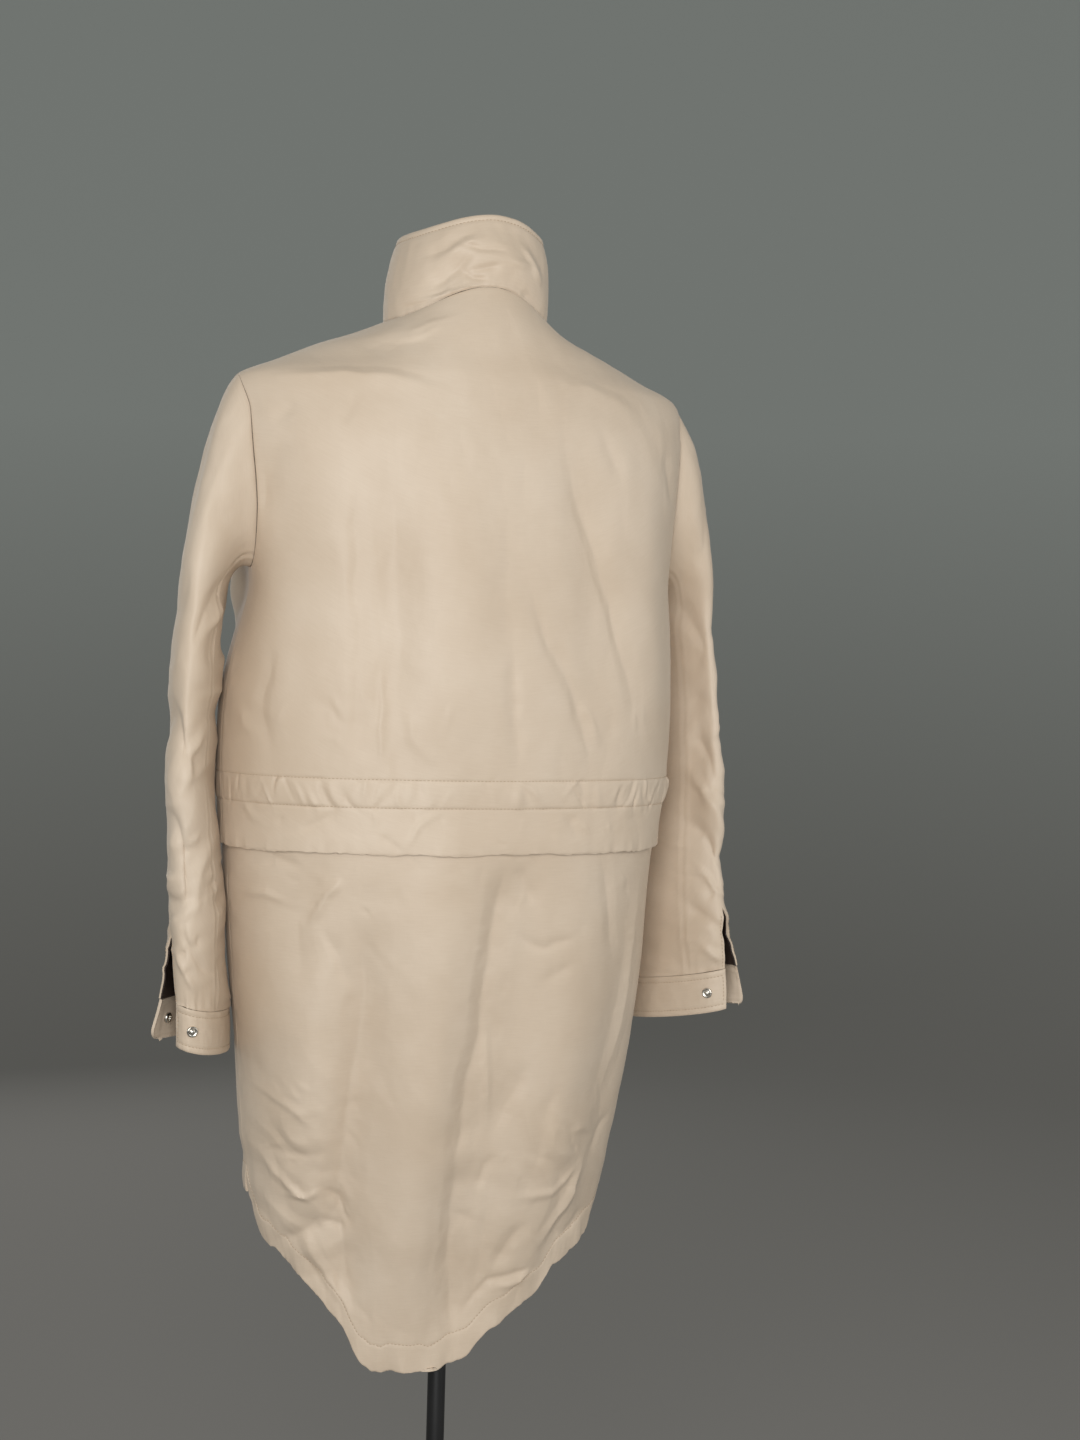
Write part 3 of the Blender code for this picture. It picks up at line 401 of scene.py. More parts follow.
BACK_CREASES = crease_rows(
    # the shelf where the cloth breaks over the shoulder blades
    ((205, 1352, 161, 1352, 118, 1357, 98, 1354, 60, 1345), 16, 3.4, 0.45),
    ((-45, 1362, -83, 1354, -135, 1338), 14, 1.8, 0.6),
    # the hollow and small pulls under the collar
    ((128, 1376, 90, 1388, 50, 1394), 12, -2.6),
    ((88, 1397, 63, 1404, 40, 1413), 4, 1.3),
    ((94, 1392, 67, 1397, 48, 1405), 4, 1),
    # pulls beside the left armhole
    ((198, 1312, 176, 1330), 7, -2.2),
    ((146, 1310, 133, 1340), 7, -1.3),
    ((200, 1225, 199, 1269, 190, 1306), 12, -3, 0.7),
    # long falls down the back
    ((120, 1330, 104, 1240, 96, 1120, 98, 1030), 20, -4.8, 1.4),
    ((12, 1300, 4, 1200, 6, 1090), 24, -3.6, 1.3),
    ((-50, 1318, -60, 1269, -78, 1226, -100, 1168, -120, 1106, -140, 1040), 10, -4, 1.6),
    ((-88, 1322, -112, 1272), 8, -1.8),
    ((-168, 1312, -180, 1255), 9, -2.5),
    ((-8, 1190, -38, 1131, -68, 1076, -86, 1018), 9, -4, 1.5),
    ((136, 1275, 134, 1195, 132, 1126, 128, 1012), 7, -2.2, 3.0, 0.25),
    ((111, 1110, 108, 1012), 4, 1.6, 1.6),
    ((1, 1140, -6, 1078, -12, 1012), 11, -3.4, 0.7),
    ((190, 1125, 197, 1055, 190, 1018), 6, -2, 0.8),
    ((209, 1070, 204, 1040), 4, 1.6),
    ((-70, 1080, -98, 1040), 6, 1.8),
    ((60, 1020, 84, 1045, 88, 1075), 8, 1.6),
    # the flap below the casing
    ((170, 962, 143, 984), 4, -1.4),
    ((88, 954, 72, 972, 55, 982), 4, 1.6),
    ((108, 962, 90, 947), 4, -1.4),
    ((207, 986, 193, 966), 4, 1.4),
    ((-60, 982, -75, 958), 4, -1),
) + crumple(41, 20, (-0.18, 1.012), (0.2, 1.07), 75, 40, (0.014, 0.045), 0.0009) + crumple(
    42, 18, (-0.19, 0.95), (0.2, 0.985), 50, 60, (0.008, 0.026), 0.001)
SKIRT_CREASES = crease_rows(
    ((150, 945, 170, 885, 160, 810), 20, -3.4, 0.6),
    ((162, 882, 148, 909, 136, 926), 7, 3, 0.8),
    ((149, 884, 140, 857, 124, 822), 6, -2.4, 1.8),
    ((120, 900, 116, 850, 117, 781, 126, 700, 125, 637, 112, 560, 102, 510), 15, -7.5, 1.5, 0.2),
    ((200, 925, 188, 938, 165, 930), 6, -2),
    ((206, 905, 190, 908, 176, 900), 5, 1.8),
    ((193, 737, 169, 722, 144, 700), 5, 1.8, 1.6),
    ((186, 680, 161, 679, 130, 678), 5, -1.5),
    ((178, 672, 162, 645, 146, 632), 4.5, 3),
    ((166, 638, 150, 637, 136, 646), 4.5, 2.6),
    ((172, 590, 150, 606, 136, 620), 10, -3.4),
    ((139, 648, 124, 634, 110, 606), 4.5, -3),
    ((141, 614, 115, 610), 5, -2.6),
    ((158, 610, 138, 577, 121, 554, 104, 520), 6, 2.6),
    ((150, 585, 132, 556), 5, -1.8),
    ((-4, 945, 2, 880, 9, 817, 11, 781, 20, 745, 21, 698, 27, 655), 14, -8.2, 1.7, 0.16),
    ((6, 800, -2, 745, -6, 700), 6, 2.2),
    ((23, 680, 20, 581, 12, 500), 13, -7.2, 1.9, 0.2),
    ((-14, 640, -9, 578, -4, 512), 8, -2.2),
    ((-14, 938, -26, 915, -40, 896), 6, -2.6, 1.4),
    ((-20, 873, -49, 861, -82, 870), 6, -1.8),
    ((-45, 830, -78, 845), 7, -1.4),
    ((-10, 690, -31, 731, -42, 760), 9, -3.4, 1.6),
    ((0, 638, -14, 676), 7, -2.4),
    ((-50, 650, -58, 700, -66, 745), 6, -1.8, 2.0),
    ((-28, 632, -75, 637, -108, 660), 6, 2),
    ((-20, 562, -40, 600, -54, 610), 10, -3.6),
    ((8, 524, -18, 554, -43, 560, -78, 564), 4, -2.4),
    ((-22, 548, -50, 553, -66, 566), 4, 2.2),
    ((-62, 575, -95, 622, -115, 668), 9, 3.4),
    ((-90, 584, -132, 610), 7, -2.4),
    ((-102, 945, -116, 900, -125, 840), 10, -2.6),
    ((-160, 930, -152, 803, -124, 705), 12, 2.6),
    ((-150, 700, -120, 660), 8, -2),
) + crumple(31, 20, (0.1, 0.57), (0.185, 0.74), 20, 60, (0.012, 0.045), 0.0013) + crumple(
    32, 18, (-0.13, 0.53), (0.0, 0.7), 40, 60, (0.012, 0.045), 0.0012) + crumple(
    33, 20, (-0.19, 0.84), (0.195, 0.935), 60, 60, (0.012, 0.04), 0.0009)
FRONT_CREASES = tuple(
    Crease(tuple((sign * x, z) for x, z in path), width, height, skew)
    for sign, jitter in ((1, 0.0), (-1, 0.008))
    for path, width, height, skew in (
        (((0.195, 1.3 - jitter), (0.16, 1.25), (0.13, 1.17 + jitter)), 0.01, -0.0024, 1.4),
        (((0.15, 1.32), (0.11, 1.24 - jitter), (0.085, 1.12)), 0.014, 0.002, 1.0),
        (((0.185, 1.12), (0.17 - jitter, 1.06), (0.175, 1.02)), 0.007, -0.0022, 1.0),
        (((0.07, 1.13), (0.074, 1.02)), 0.01, -0.0026, 0.7),
        (((0.16, 0.9), (0.14, 0.8 + jitter), (0.13, 0.68)), 0.01, -0.0036, 1.5),
        (((0.05, 0.93), (0.055, 0.8), (0.05 + jitter, 0.66)), 0.01, -0.003, 1.3),
        (((0.17, 0.76), (0.14, 0.735 + jitter)), 0.005, 0.0018, 1.5),
        (((0.09, 0.66), (0.12, 0.64), (0.15, 0.66)), 0.006, -0.002, 1.0),
    )
)


def relief_sum(layers: Sequence[Fold | Crease], x: Grid, z: Grid) -> Grid:
    """Sum of folds and creases, along lines that wander a little.

    Args:
        layers: Folds and creases.
        x: Places across the cloth.
        z: Heights.

    Returns:
        Their summed height at each place.
    """
    wander_x = 0.0022 * NOISE.at(x * 55 + 3, z * 40) + 0.0009 * NOISE.at(x * 170, z * 130 + 9)
    wander_z = 0.0022 * NOISE.at(x * 50 + 31, z * 45 + 17)
    total = np.zeros(x.shape)
    for layer in layers:
        if isinstance(layer, Fold):
            total += layer.relief(x, z)
        else:
            total += layer.relief(x + wander_x, z + wander_z)
    return total


def lowest(lift: Grid, reach: int = 3) -> Grid:
    """Lowest value within a few rows and columns, so that a coarser inner side stays inside the cloth.

    Args:
        lift: Heights on a grid of points.
        reach: How many rows and columns away it looks.

    Returns:
        The lowest height near each point.
    """
    for axis in (0, 1):
        padded = np.concatenate([np.take(lift, [0] * reach, axis), lift, np.take(lift, [-1] * reach, axis)], axis)
        count = lift.shape[axis]
        lift = np.min([np.take(padded, range(k, k + count), axis) for k in range(2 * reach + 1)], axis=0)
    return lift


def wrapped(angle: Grid) -> Grid:
    """The same angle between minus and plus half a turn."""
    return (angle + pi) % (2 * pi) - pi


def level_out(angle: Grid) -> Grid:
    """Level unit vectors at angles round the coat."""
    return np.stack([np.cos(angle), np.sin(angle), np.zeros(angle.shape)], -1)


def smooth_step(t: Grid) -> Grid:
    """Ease from 0 to 1."""
    t = np.clip(t, 0, 1)
    return t * t * (3 - 2 * t)


def unit(v: Grid) -> Grid:
    """Vectors scaled to length one."""
    return v / np.maximum(np.linalg.norm(v, axis=-1, keepdims=True), 1e-12)


# -------- the body surface
def ring_points(row: Grid, angle: Grid) -> Grid:
    """Points of rings at angles: 0 is the wearer's left, a quarter turn the back.

    Args:
        row: Columns of the body's table, for each place.
        angle: Angles round the coat.

    Returns:
        One point per place.
    """
    _, half_width, back, front, centre, drift, rise, drop, full = np.moveaxis(np.broadcast_to(
        row, np.shape(angle) + (9,)), -1, 0)
    c, s = np.cos(angle), np.sin(angle)
    depth = np.where(s >= 0, back - centre, centre - front)
    lift = np.where(s >= 0, rise, -drop)
    x = drift + half_width * c * (1 + full * s * s)
    y = centre + depth * s * (1 + full * c * c)
    return np.stack([x, y, row[..., 0] + lift * np.abs(s) ** 3], -1)


def body_points(angle: Grid, h: Grid) -> Grid:
    """Points of the coat's smooth body surface."""
    angle, h = np.broadcast_arrays(angle, h)
    return ring_points(BODY.at(h), angle)


def body_normals(angle: Grid, h: Grid) -> Grid:
    """Outward unit normals of the body surface.

    Args:
        angle: Angles round the coat.
        h: Heights.

    Returns:
        One normal per place.
    """
    angle, h = np.broadcast_arrays(angle, np.minimum(h, NECK_H - 0.003))
    across = body_points(angle + 0.02, h) - body_points(angle - 0.02, h)
    along = body_points(angle, h + 0.003) - body_points(angle, h - 0.003)
    return unit(np.cross(across, along))


def body_folds(angle: Grid, h: Grid) -> Grid:
    """The solids' wide folds, which die out at the sides and on the shoulders.

    Args:
        angle: Angles round the coat.
        h: Heights.

    Returns:
        The folds' height at each place.
    """
    place = body_points(angle, h)
    back = np.sin(angle) >= 0
    x, z = place[..., 0], place[..., 2]
    total = np.where(back, relief_sum(BACK_FOLDS, x, z), relief_sum(FRONT_FOLDS, x, z))
    total = total * np.clip(np.abs(np.sin(angle)) / 0.35, 0, 1) * np.clip((1.35 - h) / 0.06, 0, 1)
    return total + LEFT_LEAN.at(h)[..., 1] * bell(wrapped(angle) + 0.24, 0.42)


def edge_angle(row: Grid, behind: Grid, reach: Grid) -> Grid:
    """Angle at which rings stand `reach` behind or before their centre.

    Args:
        row: Columns of the body's table, for each place.
        behind: Where the back half is meant.
        reach: Distance from the centre line, front to back.

    Returns:
        One angle per place.
    """
    depth = np.where(behind, row[..., 2] - row[..., 4], row[..., 4] - row[..., 3])
    low, high = np.zeros(np.shape(reach)), np.ones(np.shape(reach))
    for _ in range(30):
        s = 0.5 * (low + high)
        short = depth * s * (1 + row[..., 8] * (1 - s * s)) < reach
        low, high = np.where(short, s, low), np.where(short, high, s)
    return np.arcsin(low)


def armhole_angle(h: Grid, behind: bool) -> Grid:
    """Angle of the armhole's edge from the side; zero outside the armhole.

    Args:
        h: Heights.
        behind: Whether the back edge is meant.

    Returns:
        One angle per height.
    """
    t = np.clip((h - ARMHOLE_MIDDLE_H) / ARMHOLE_HALF, -1, 1)
    wide = ARMHOLE_BACK if behind else ARMHOLE_FRONT
    return edge_angle(BODY.at(h), np.full(np.shape(h), behind), wide * np.sqrt(1 - t * t))


def hem_height(angle: Grid) -> Grid:
    """Height of the hem at angles round the coat."""
    return HEM.at(np.degrees(angle) % 360)[..., 1]


# -------- meshes
def grid_normals(points: Grid, closed_rows: int = 0) -> Grid:
    """Unit normals of a grid that runs anticlockwise and downwards.

    Args:
        points: Rows by columns of points.
        closed_rows: The first rows whose last column is their first.

    Returns:
        One normal per point.
    """
    right = np.concatenate([points[:, 1:], points[:, -1:]], 1)
    left = np.concatenate([points[:, :1], points[:, :-1]], 1)
    right[:closed_rows, -1] = points[:closed_rows, 1]
    left[:closed_rows, 0] = points[:closed_rows, -2]
    above = np.concatenate([points[:1], points[:-1]], 0)
    below = np.concatenate([points[1:], points[-1:]], 0)
    return unit(np.cross(right - left, above - below))


def cut_coordinates(points: Grid) -> Grid:
    """Distance along the rows and down the columns of a grid, as on the flat cut.

    Args:
        points: Rows by columns of points.

    Returns:
        Across and down, in metres, for each point.
    """
    across = np.linalg.norm(np.diff(points, axis=1), axis=-1)
    down = np.linalg.norm(np.diff(points, axis=0), axis=-1)
    u = np.concatenate([np.zeros((len(points), 1)), np.cumsum(across, 1)], 1)
    v = np.concatenate([np.zeros((1, points.shape[1])), np.cumsum(down, 0)], 0)
    return np.stack([u - u[:, -1:] / 2, -v], -1)


def wall_object(name: str, face: Grid, back: Grid, materials: Sequence[Material],
                closed_rows: int = 0, back_shell_from: int | None = None, coarse: int = 1) -> Object:
    """One closed cloth wall between two grids of points.

    Args:
        name: Piece name.
        face: Points of the outer side, rows by columns.
        back: Points of the inner side, the same shape.
        materials: The face's material, then the inner side's if it has its own.
        closed_rows: The first rows whose last column is their first.
        back_shell_from: First row from which the inner side shows the face's material.
        coarse: Step between the rows and columns that the inner side keeps.

    Returns:
        The linked object.
    """
    rows, columns = face.shape[:2]
    count = rows * columns
    corner = np.arange(count).reshape(rows, columns)
    ids = corner.copy()
    ids[:closed_rows, -1] = ids[:closed_rows, 0]
    start = max(closed_rows - 1, 0)
    kept_rows = np.unique([*range(0, rows, coarse), start, rows - 1])
    kept_columns = np.unique([*range(0, columns, coarse), columns - 1])
    inner = np.ix_(kept_rows, kept_columns)
    cut = cut_coordinates(face).reshape(-1, 2)
    points = np.concatenate([face.reshape(-1, 3), back.reshape(-1, 3)])
    faces: list[list[int]] = []
    places: list[list[int]] = []
    kinds: list[int] = []

    def add_quads(v: Grid, c: Grid, shift: int, kind: Callable[[int], int]) -> None:
        """One side's faces.

        Args:
            v: Vertex numbers, rows by columns.
            c: Numbers of their places on the cut.
            shift: Added to the vertex numbers; not 0 on the inner side.
            kind: Material number of a row.
        """
        for grid, out, move in ((v, faces, shift), (c, places, 0)):
            q = np.stack([grid[:-1, :-1], grid[1:, :-1], grid[1:, 1:], grid[:-1, 1:]], -1).reshape(-1, 4) + move
            out.extend((q[:, ::-1] if shift else q).tolist())
        across = v.shape[1] - 1
        kinds.extend(kind(row) for row in range(v.shape[0] - 1) for _ in range(across))

    add_quads(ids, corner, 0, lambda row: 0)
    lining = 1 if len(materials) > 1 else 0
    last = rows if back_shell_from is None else back_shell_from
    add_quads(ids[inner], corner[inner], count, lambda row: lining if kept_rows[row] < last else 0)
    sides = kept_rows[kept_rows >= start]
    for line, kept in (((0, slice(None)), kept_columns), ((-1, slice(None)), kept_columns),
                       ((slice(None), 0), sides), ((slice(None), -1), sides)):
        for low, high in zip(kept, kept[1:]):
            run, spots = ids[line][low:high + 1].tolist(), corner[line][low:high + 1].tolist()
            faces.append(run + [run[-1] + count, run[0] + count])
            places.append(spots + [spots[-1], spots[0]])
            kinds.append(0)
    used = np.unique(np.concatenate([np.array(f) for f in faces]))
    order = np.zeros(2 * count, int)
    order[used] = np.arange(len(used))
    data = bpy.data.meshes.new(name)
    data.from_pydata(points[used].tolist(), [], [[int(order[i]) for i in f] for f in faces])
    layer = data.uv_layers.new(name="cut")
    layer.data.foreach_set("uv", cut[np.concatenate([np.array(p) for p in places])].reshape(-1))
    for material in materials:
        data.materials.append(material)
    data.polygons.foreach_set("material_index", np.array(kinds, np.int32))
    return linked(name, data)


def linked(name: str, data: Mesh) -> Object:
    """An object in the scene for a closed mesh, turned outward, smooth, with its hard rims kept.

    Args:
        name: Piece name.
        data: Its mesh.

    Returns:
        The object.
    """
    work = bmesh.new()
    work.from_mesh(data)
    bmesh.ops.recalc_face_normals(work, faces=work.faces)
    if work.calc_volume(signed=True) < 0:
        bmesh.ops.reverse_faces(work, faces=work.faces)
    work.to_mesh(data)
    work.free()
    data.shade_smooth()
    data.set_sharp_from_angle(angle=radians(48))
    item = bpy.data.objects.new(name, data)
    bpy.context.scene.collection.objects.link(item)
    return item


def mesh_of(name: str, verts: Sequence[Any], faces: Sequence[Sequence[int]], material: Material) -> Mesh:
    """A mesh of one material.

    Args:
        name: Its name.
        verts: Its points.
        faces: Point numbers of each face.
        material: Its material.

    Returns:
        The mesh.
    """
    data = bpy.data.meshes.new(name)
    data.from_pydata(verts, [], faces)
    data.materials.append(material)
    return data


def turned_mesh(name: str, profile: Profile, material: Material, steps: int) -> Mesh:
    """A surface turned about Z, closed where its profile starts or ends on the axis.

    Args:
        name: Its name.
        profile: Radii and heights.
        material: Its material.
        steps: Points round the axis.

    Returns:
        The mesh.
    """
    verts: list[tuple[float, float, float]] = []
    rings: list[list[int]] = []
    for r, z in profile:
        count = 1 if r < 1e-9 else steps
        rings.append(list(range(len(verts), len(verts) + count)))
        verts += [(r * cos(2 * pi * k / steps), r * sin(2 * pi * k / steps), z) for k in range(count)]
    faces = []
    for a, b in zip(rings, rings[1:]):
        for k in range(steps):
            n = (k + 1) % steps
            if len(a) == 1 and len(b) > 1:
                faces.append((a[0], b[k], b[n]))
            elif len(b) == 1 and len(a) > 1:
                faces.append((a[k], b[0], a[n]))
            elif len(a) > 1:
                faces.append((a[k], b[k], b[n], a[n]))
    return mesh_of(name, verts, faces, material)


def turned_object(name: str, profile: Profile, material: Material, steps: int = 64) -> Object:
    """A turned piece whose profile starts and ends on the axis."""
    return linked(name, turned_mesh(name, profile, material, steps))


def loft_object(name: str, rings: Grid, material: Material) -> Object:
    """One closed solid through rings of points, with flat ends.

    Args:
        name: Piece name.
        rings: Rings by points.
        material: Its material.

    Returns:
        The object, in the scene.
    """
    count, columns = rings.shape[:2]
    ids = np.arange(count * columns).reshape(count, columns)
    nxt = np.roll(ids, -1, 1)
    faces = np.stack([ids[:-1], ids[1:], nxt[1:], nxt[:-1]], -1).reshape(-1, 4).tolist()
    faces += [ids[0].tolist(), ids[-1][::-1].tolist()]
    return linked(name, mesh_of(name, rings.reshape(-1, 3).tolist(), faces, material))


def stitch_object(name: str, runs: Sequence[Run], material: Material, radius: float = 0.0003) -> Object:
    """Rows of thread stitches that lie half sunk along lines.

    Args:
        name: Piece name.
        runs: Pairs of points and outward normals along each line.
        material: The thread's.
        radius: Half the thread's thickness.

    Returns:
        One object with every stitch.
    """
    verts: list[Grid] = []
    faces: list[tuple[int, ...]] = []
    sides = 5
    for points, normals in runs:
        steps = np.linalg.norm(np.diff(points, axis=0), axis=1)
        along = np.concatenate([[0], np.cumsum(steps)])
        if along[-1] < STITCH_PITCH:
            continue
        starts = np.arange(0.3 * STITCH_PITCH, along[-1] - STITCH_PITCH, STITCH_PITCH)
        length = 0.72 * STITCH_PITCH

        def at(s: Grid) -> tuple[Grid, Grid]:
            """Point and normal at distances along the line."""
            p = np.stack([np.interp(s, along, points[:, k]) for k in range(3)], -1)
            n = np.stack([np.interp(s, along, normals[:, k]) for k in range(3)], -1)
            return p, unit(n)

        for s in starts:
            (a, b), (na, _) = at(np.array([s, s + length]))
            line = unit(b - a)
            out = unit(na - line * (na @ line))
            across = np.cross(line, out)
            base = len(verts)
            verts.append(a - out * radius)
            for share in (0.2, 0.8):
                middle = a + (b - a) * share + out * 0.35 * radius
                for k in range(sides):
                    turn = 2 * pi * k / sides
                    verts.append(middle + radius * (out * cos(turn) + across * sin(turn)))
            verts.append(b - out * radius)
            for k in range(sides):
                n = (k + 1) % sides
                faces.append((base, base + 1 + k, base + 1 + n))
                faces.append((base + 1 + k, base + 1 + sides + k, base + 1 + sides + n, base + 1 + n))
                faces.append((base + 1 + 2 * sides, base + 1 + sides + n, base + 1 + sides + k))
    return linked(name, mesh_of(name, [tuple(v) for v in verts], faces, material))


def stitch_run(face: Grid, out: Grid, where: Any) -> Run:
    """Line and outward normals along a row or column of a cloth grid."""
    return face[where] + out[where] * THREAD_LIFT, out[where]


# -------- materials
def srgb(code: str) -> tuple[float, float, float, float]:
    """An sRGB hex value as linear colour with full alpha.

    Args:
        code: The value, a hash and six digits.

    Returns:
        Red, green, blue and alpha.
    """
    parts = [int(code[i:i + 2], 16) / 255 for i in (1, 3, 5)]
    linear = [p / 12.92 if p <= 0.04045 else ((p + 0.055) / 1.055) ** 2.4 for p in parts]
    return (*linear, 1.0)


def set_node(tree: NodeTree, node: Node, settings: Settings | None = None, links: Links | None = None) -> None:
    """Give a node its settings and links.

    Args:
        tree: The node's tree.
        node: The node.
        settings: Attribute or input name to value.
        links: Input name or number to the node and output that feed it.
    """
    for key, value in (settings or {}).items():
        if isinstance(key, str) and hasattr(node, key):
            setattr(node, key, value)
        else:
            node.inputs[key].default_value = value
    for key, (source, output) in (links or {}).items():
        tree.links.new(source.outputs[output], node.inputs[key])


def add_node(tree: NodeTree, kind: str, settings: Settings | None = None, links: Links | None = None) -> Node:
    """Add a node with its settings and links.

    Args:
        tree: The tree to add to.
        kind: Blender's name for the kind of node, after ShaderNode.
        settings: Attribute or input name to value.
        links: Input name or number to the node and output that feed it.

    Returns:
        The new node.
    """
    node = tree.nodes.new(f"ShaderNode{kind}")
    set_node(tree, node, settings, links)
    return node


def new_material(name: str) -> tuple[Material, NodeTree, Node]:
    """A material with its node tree and its shader.

    Args:
        name: Its name.

    Returns:
        The material, its tree and its shader.
    """
    material = bpy.data.materials.new(name)
    material.use_nodes = True
    tree = material.node_tree
    return material, tree, tree.nodes["Principled BSDF"]


def colour_ramp(node: Node, stops: Sequence[tuple[float, str]]) -> None:
    """Set a ramp's places and colours.

    Args:
        node: The ramp's node.
        stops: Places from 0 to 1 with their sRGB hex values.
    """
    ramp = node.color_ramp
    while len(ramp.elements) < len(stops):
        ramp.elements.new(0.5)
    for element, (place, code) in zip(ramp.elements, stops):
        element.position, element.color = place, srgb(code)


def speckle(tree: NodeTree, scale: float, detail: float, *stops: tuple[float, str]) -> tuple[Node, Node]:
    """Fine noise that stays with the piece, and the colour that follows it.

    Args:
        tree: The material's tree.
        scale: Spots to the metre.
        detail: Steps of finer spots.
        stops: Places from 0 to 1 with their sRGB hex values.

    Returns:
        The noise and the colour.
    """
    place = add_node(tree, "TexCoord")
    noise = add_node(tree, "TexNoise", {"Scale": scale, "Detail": detail}, {"Vector": (place, "Object")})
    tone = add_node(tree, "ValToRGB", links={"Fac": (noise, "Fac")})
    colour_ramp(tone, stops)
    return noise, tone


@dataclass(frozen=True)
class ShellCloth:
    """Plain-woven polyester microfibre taffeta, calendered: a dull satin glow and a soft hand.

    The real threads lie 0.2 mm apart, too fine to show, so the weave is drawn at 1.1 mm.
    """

    base: str = "#CBB9A4"
    shade: str = "#C6B39D"
    light: str = "#D0BFAB"
    roughness: float = 0.54
    weave_mm: float = 1.1
    weave_depth: float = 0.1

    def build(self) -> Material:
        """The cloth's material: mottled colour, thread-wise bump, uneven gloss and a little sheen.

        Returns:
            The material.
        """
        material, tree, shader = new_material("polyester_taffeta")
        scale = WAVE_METRE / (self.weave_mm / MM)
        cut = add_node(tree, "UVMap", {"uv_map": "cut"})
        place = add_node(tree, "TexCoord")
        warp, weft = (add_node(tree, "TexWave", {"bands_direction": way, "Scale": scale, "Distortion": slack,
                                                 "Detail": 1.0, "Detail Scale": 0.6},
                               {"Vector": (cut, "UV")}) for way, slack in (("X", 1.2), ("Y", 1.6)))
        weave = add_node(tree, "Math", {"operation": "MULTIPLY"}, {0: (warp, "Fac"), 1: (weft, "Fac")})
        mottle = add_node(tree, "TexNoise", {"Scale": 9.0, "Detail": 4.0, "Roughness": 0.55},
                          {"Vector": (place, "Object")})
        slub_map = add_node(tree, "Mapping", {"Scale": (60.0, 900.0, 1.0)}, {"Vector": (cut, "UV")})
        slub = add_node(tree, "TexNoise", {"Scale": 1.0, "Detail": 2.0}, {"Vector": (slub_map, "Vector")})
        mixed = add_node(tree, "Math", {"operation": "MULTIPLY_ADD", 1: 0.3},
                         {0: (slub, "Fac"), 2: (mottle, "Fac")})
        tone = add_node(tree, "ValToRGB", links={"Fac": (mixed, "Value")})
        colour_ramp(tone, ((0.5, self.shade), (0.7, self.base), (0.9, self.light)))
        gloss = add_node(tree, "MapRange", {"To Min": self.roughness - 0.05, "To Max": self.roughness + 0.07},
                         {"Value": (mottle, "Fac")})
        fine = add_node(tree, "TexNoise", {"Scale": 140.0, "Detail": 3.0, "Roughness": 0.6},
                        {"Vector": (place, "Object")})
        lumps = add_node(tree, "Bump", {"Strength": 0.12, "Distance": 0.0012}, {"Height": (fine, "Fac")})
        bump = add_node(tree, "Bump", {"Strength": self.weave_depth, "Distance": 0.0003},
                        {"Height": (weave, "Value"), "Normal": (lumps, "Normal")})
        set_node(tree, shader, {"Specular IOR Level": 0.5, "IOR": 1.5, "Sheen Weight": 0.1, "Sheen Roughness": 0.4,
                                "Sheen Tint": srgb("#FFF6EA")},
                 {"Base Color": (tone, "Color"), "Roughness": (gloss, "Result"), "Normal": (bump, "Normal")})
        return material


@dataclass(frozen=True)
class LiningCloth:
    """Dark viscose twill lining: a fine diagonal rib with a dull shine."""

    base: str = "#2A201C"
    rib: str = "#3A2D27"
    roughness: float = 0.42
    rib_mm: float = 1.4

    def build(self) -> Material:
        """The lining's material with its slanting rib.

        Returns:
            The material.
        """
        material, tree, shader = new_material("viscose_twill_lining")
        cut = add_node(tree, "UVMap", {"uv_map": "cut"})
        rib = add_node(tree, "TexWave", {"bands_direction": "DIAGONAL", "Scale": WAVE_METRE / (self.rib_mm / MM),
                                         "Distortion": 0.8}, {"Vector": (cut, "UV")})
        tone = add_node(tree, "ValToRGB", links={"Fac": (rib, "Fac")})
        colour_ramp(tone, ((0.2, self.base), (0.9, self.rib)))
        bump = add_node(tree, "Bump", {"Strength": 0.25, "Distance": 0.0003}, {"Height": (rib, "Fac")})
        set_node(tree, shader, {"Roughness": self.roughness},
                 {"Base Color": (tone, "Color"), "Normal": (bump, "Normal")})
        return material


@dataclass(frozen=True)
class SewingThread:
    """Spun polyester thread, a shade darker than the cloth, with its twist as fine bump."""

    base: str = "#B9A48B"
    dark: str = "#A8937A"

    def build(self) -> Material:
        """The thread's material.

        Returns:
            The material.
        """
        material, tree, shader = new_material("spun_polyester_thread")
        twist, tone = speckle(tree, 1500.0, 2.0, (0.3, self.dark), (0.7, self.base))
        bump = add_node(tree, "Bump", {"Strength": 0.4, "Distance": 0.0002}, {"Height": (twist, "Fac")})
        set_node(tree, shader, {"Roughness": 0.6}, {"Base Color": (tone, "Color"), "Normal": (bump, "Normal")})
        return material


@dataclass(frozen=True)
class NickelPlate:
    """Nickel-plated pressed brass: bright, slightly warm, with fine handling marks."""

    base: str = "#CFCBC3"
    worn: str = "#B4AEA4"

    def build(self) -> Material:
        """The snap's material.

        Returns:
            The material.
        """
        material, tree, shader = new_material("nickel_plated_brass")
        marks, tone = speckle(tree, 420.0, 4.0, (0.35, self.worn), (0.6, self.base))
        gloss = add_node(tree, "MapRange", {"To Min": 0.16, "To Max": 0.34}, {"Value": (marks, "Fac")})
        set_node(tree, shader, {"Metallic": 1.0}, {"Base Color": (tone, "Color"), "Roughness": (gloss, "Result")})
        return material


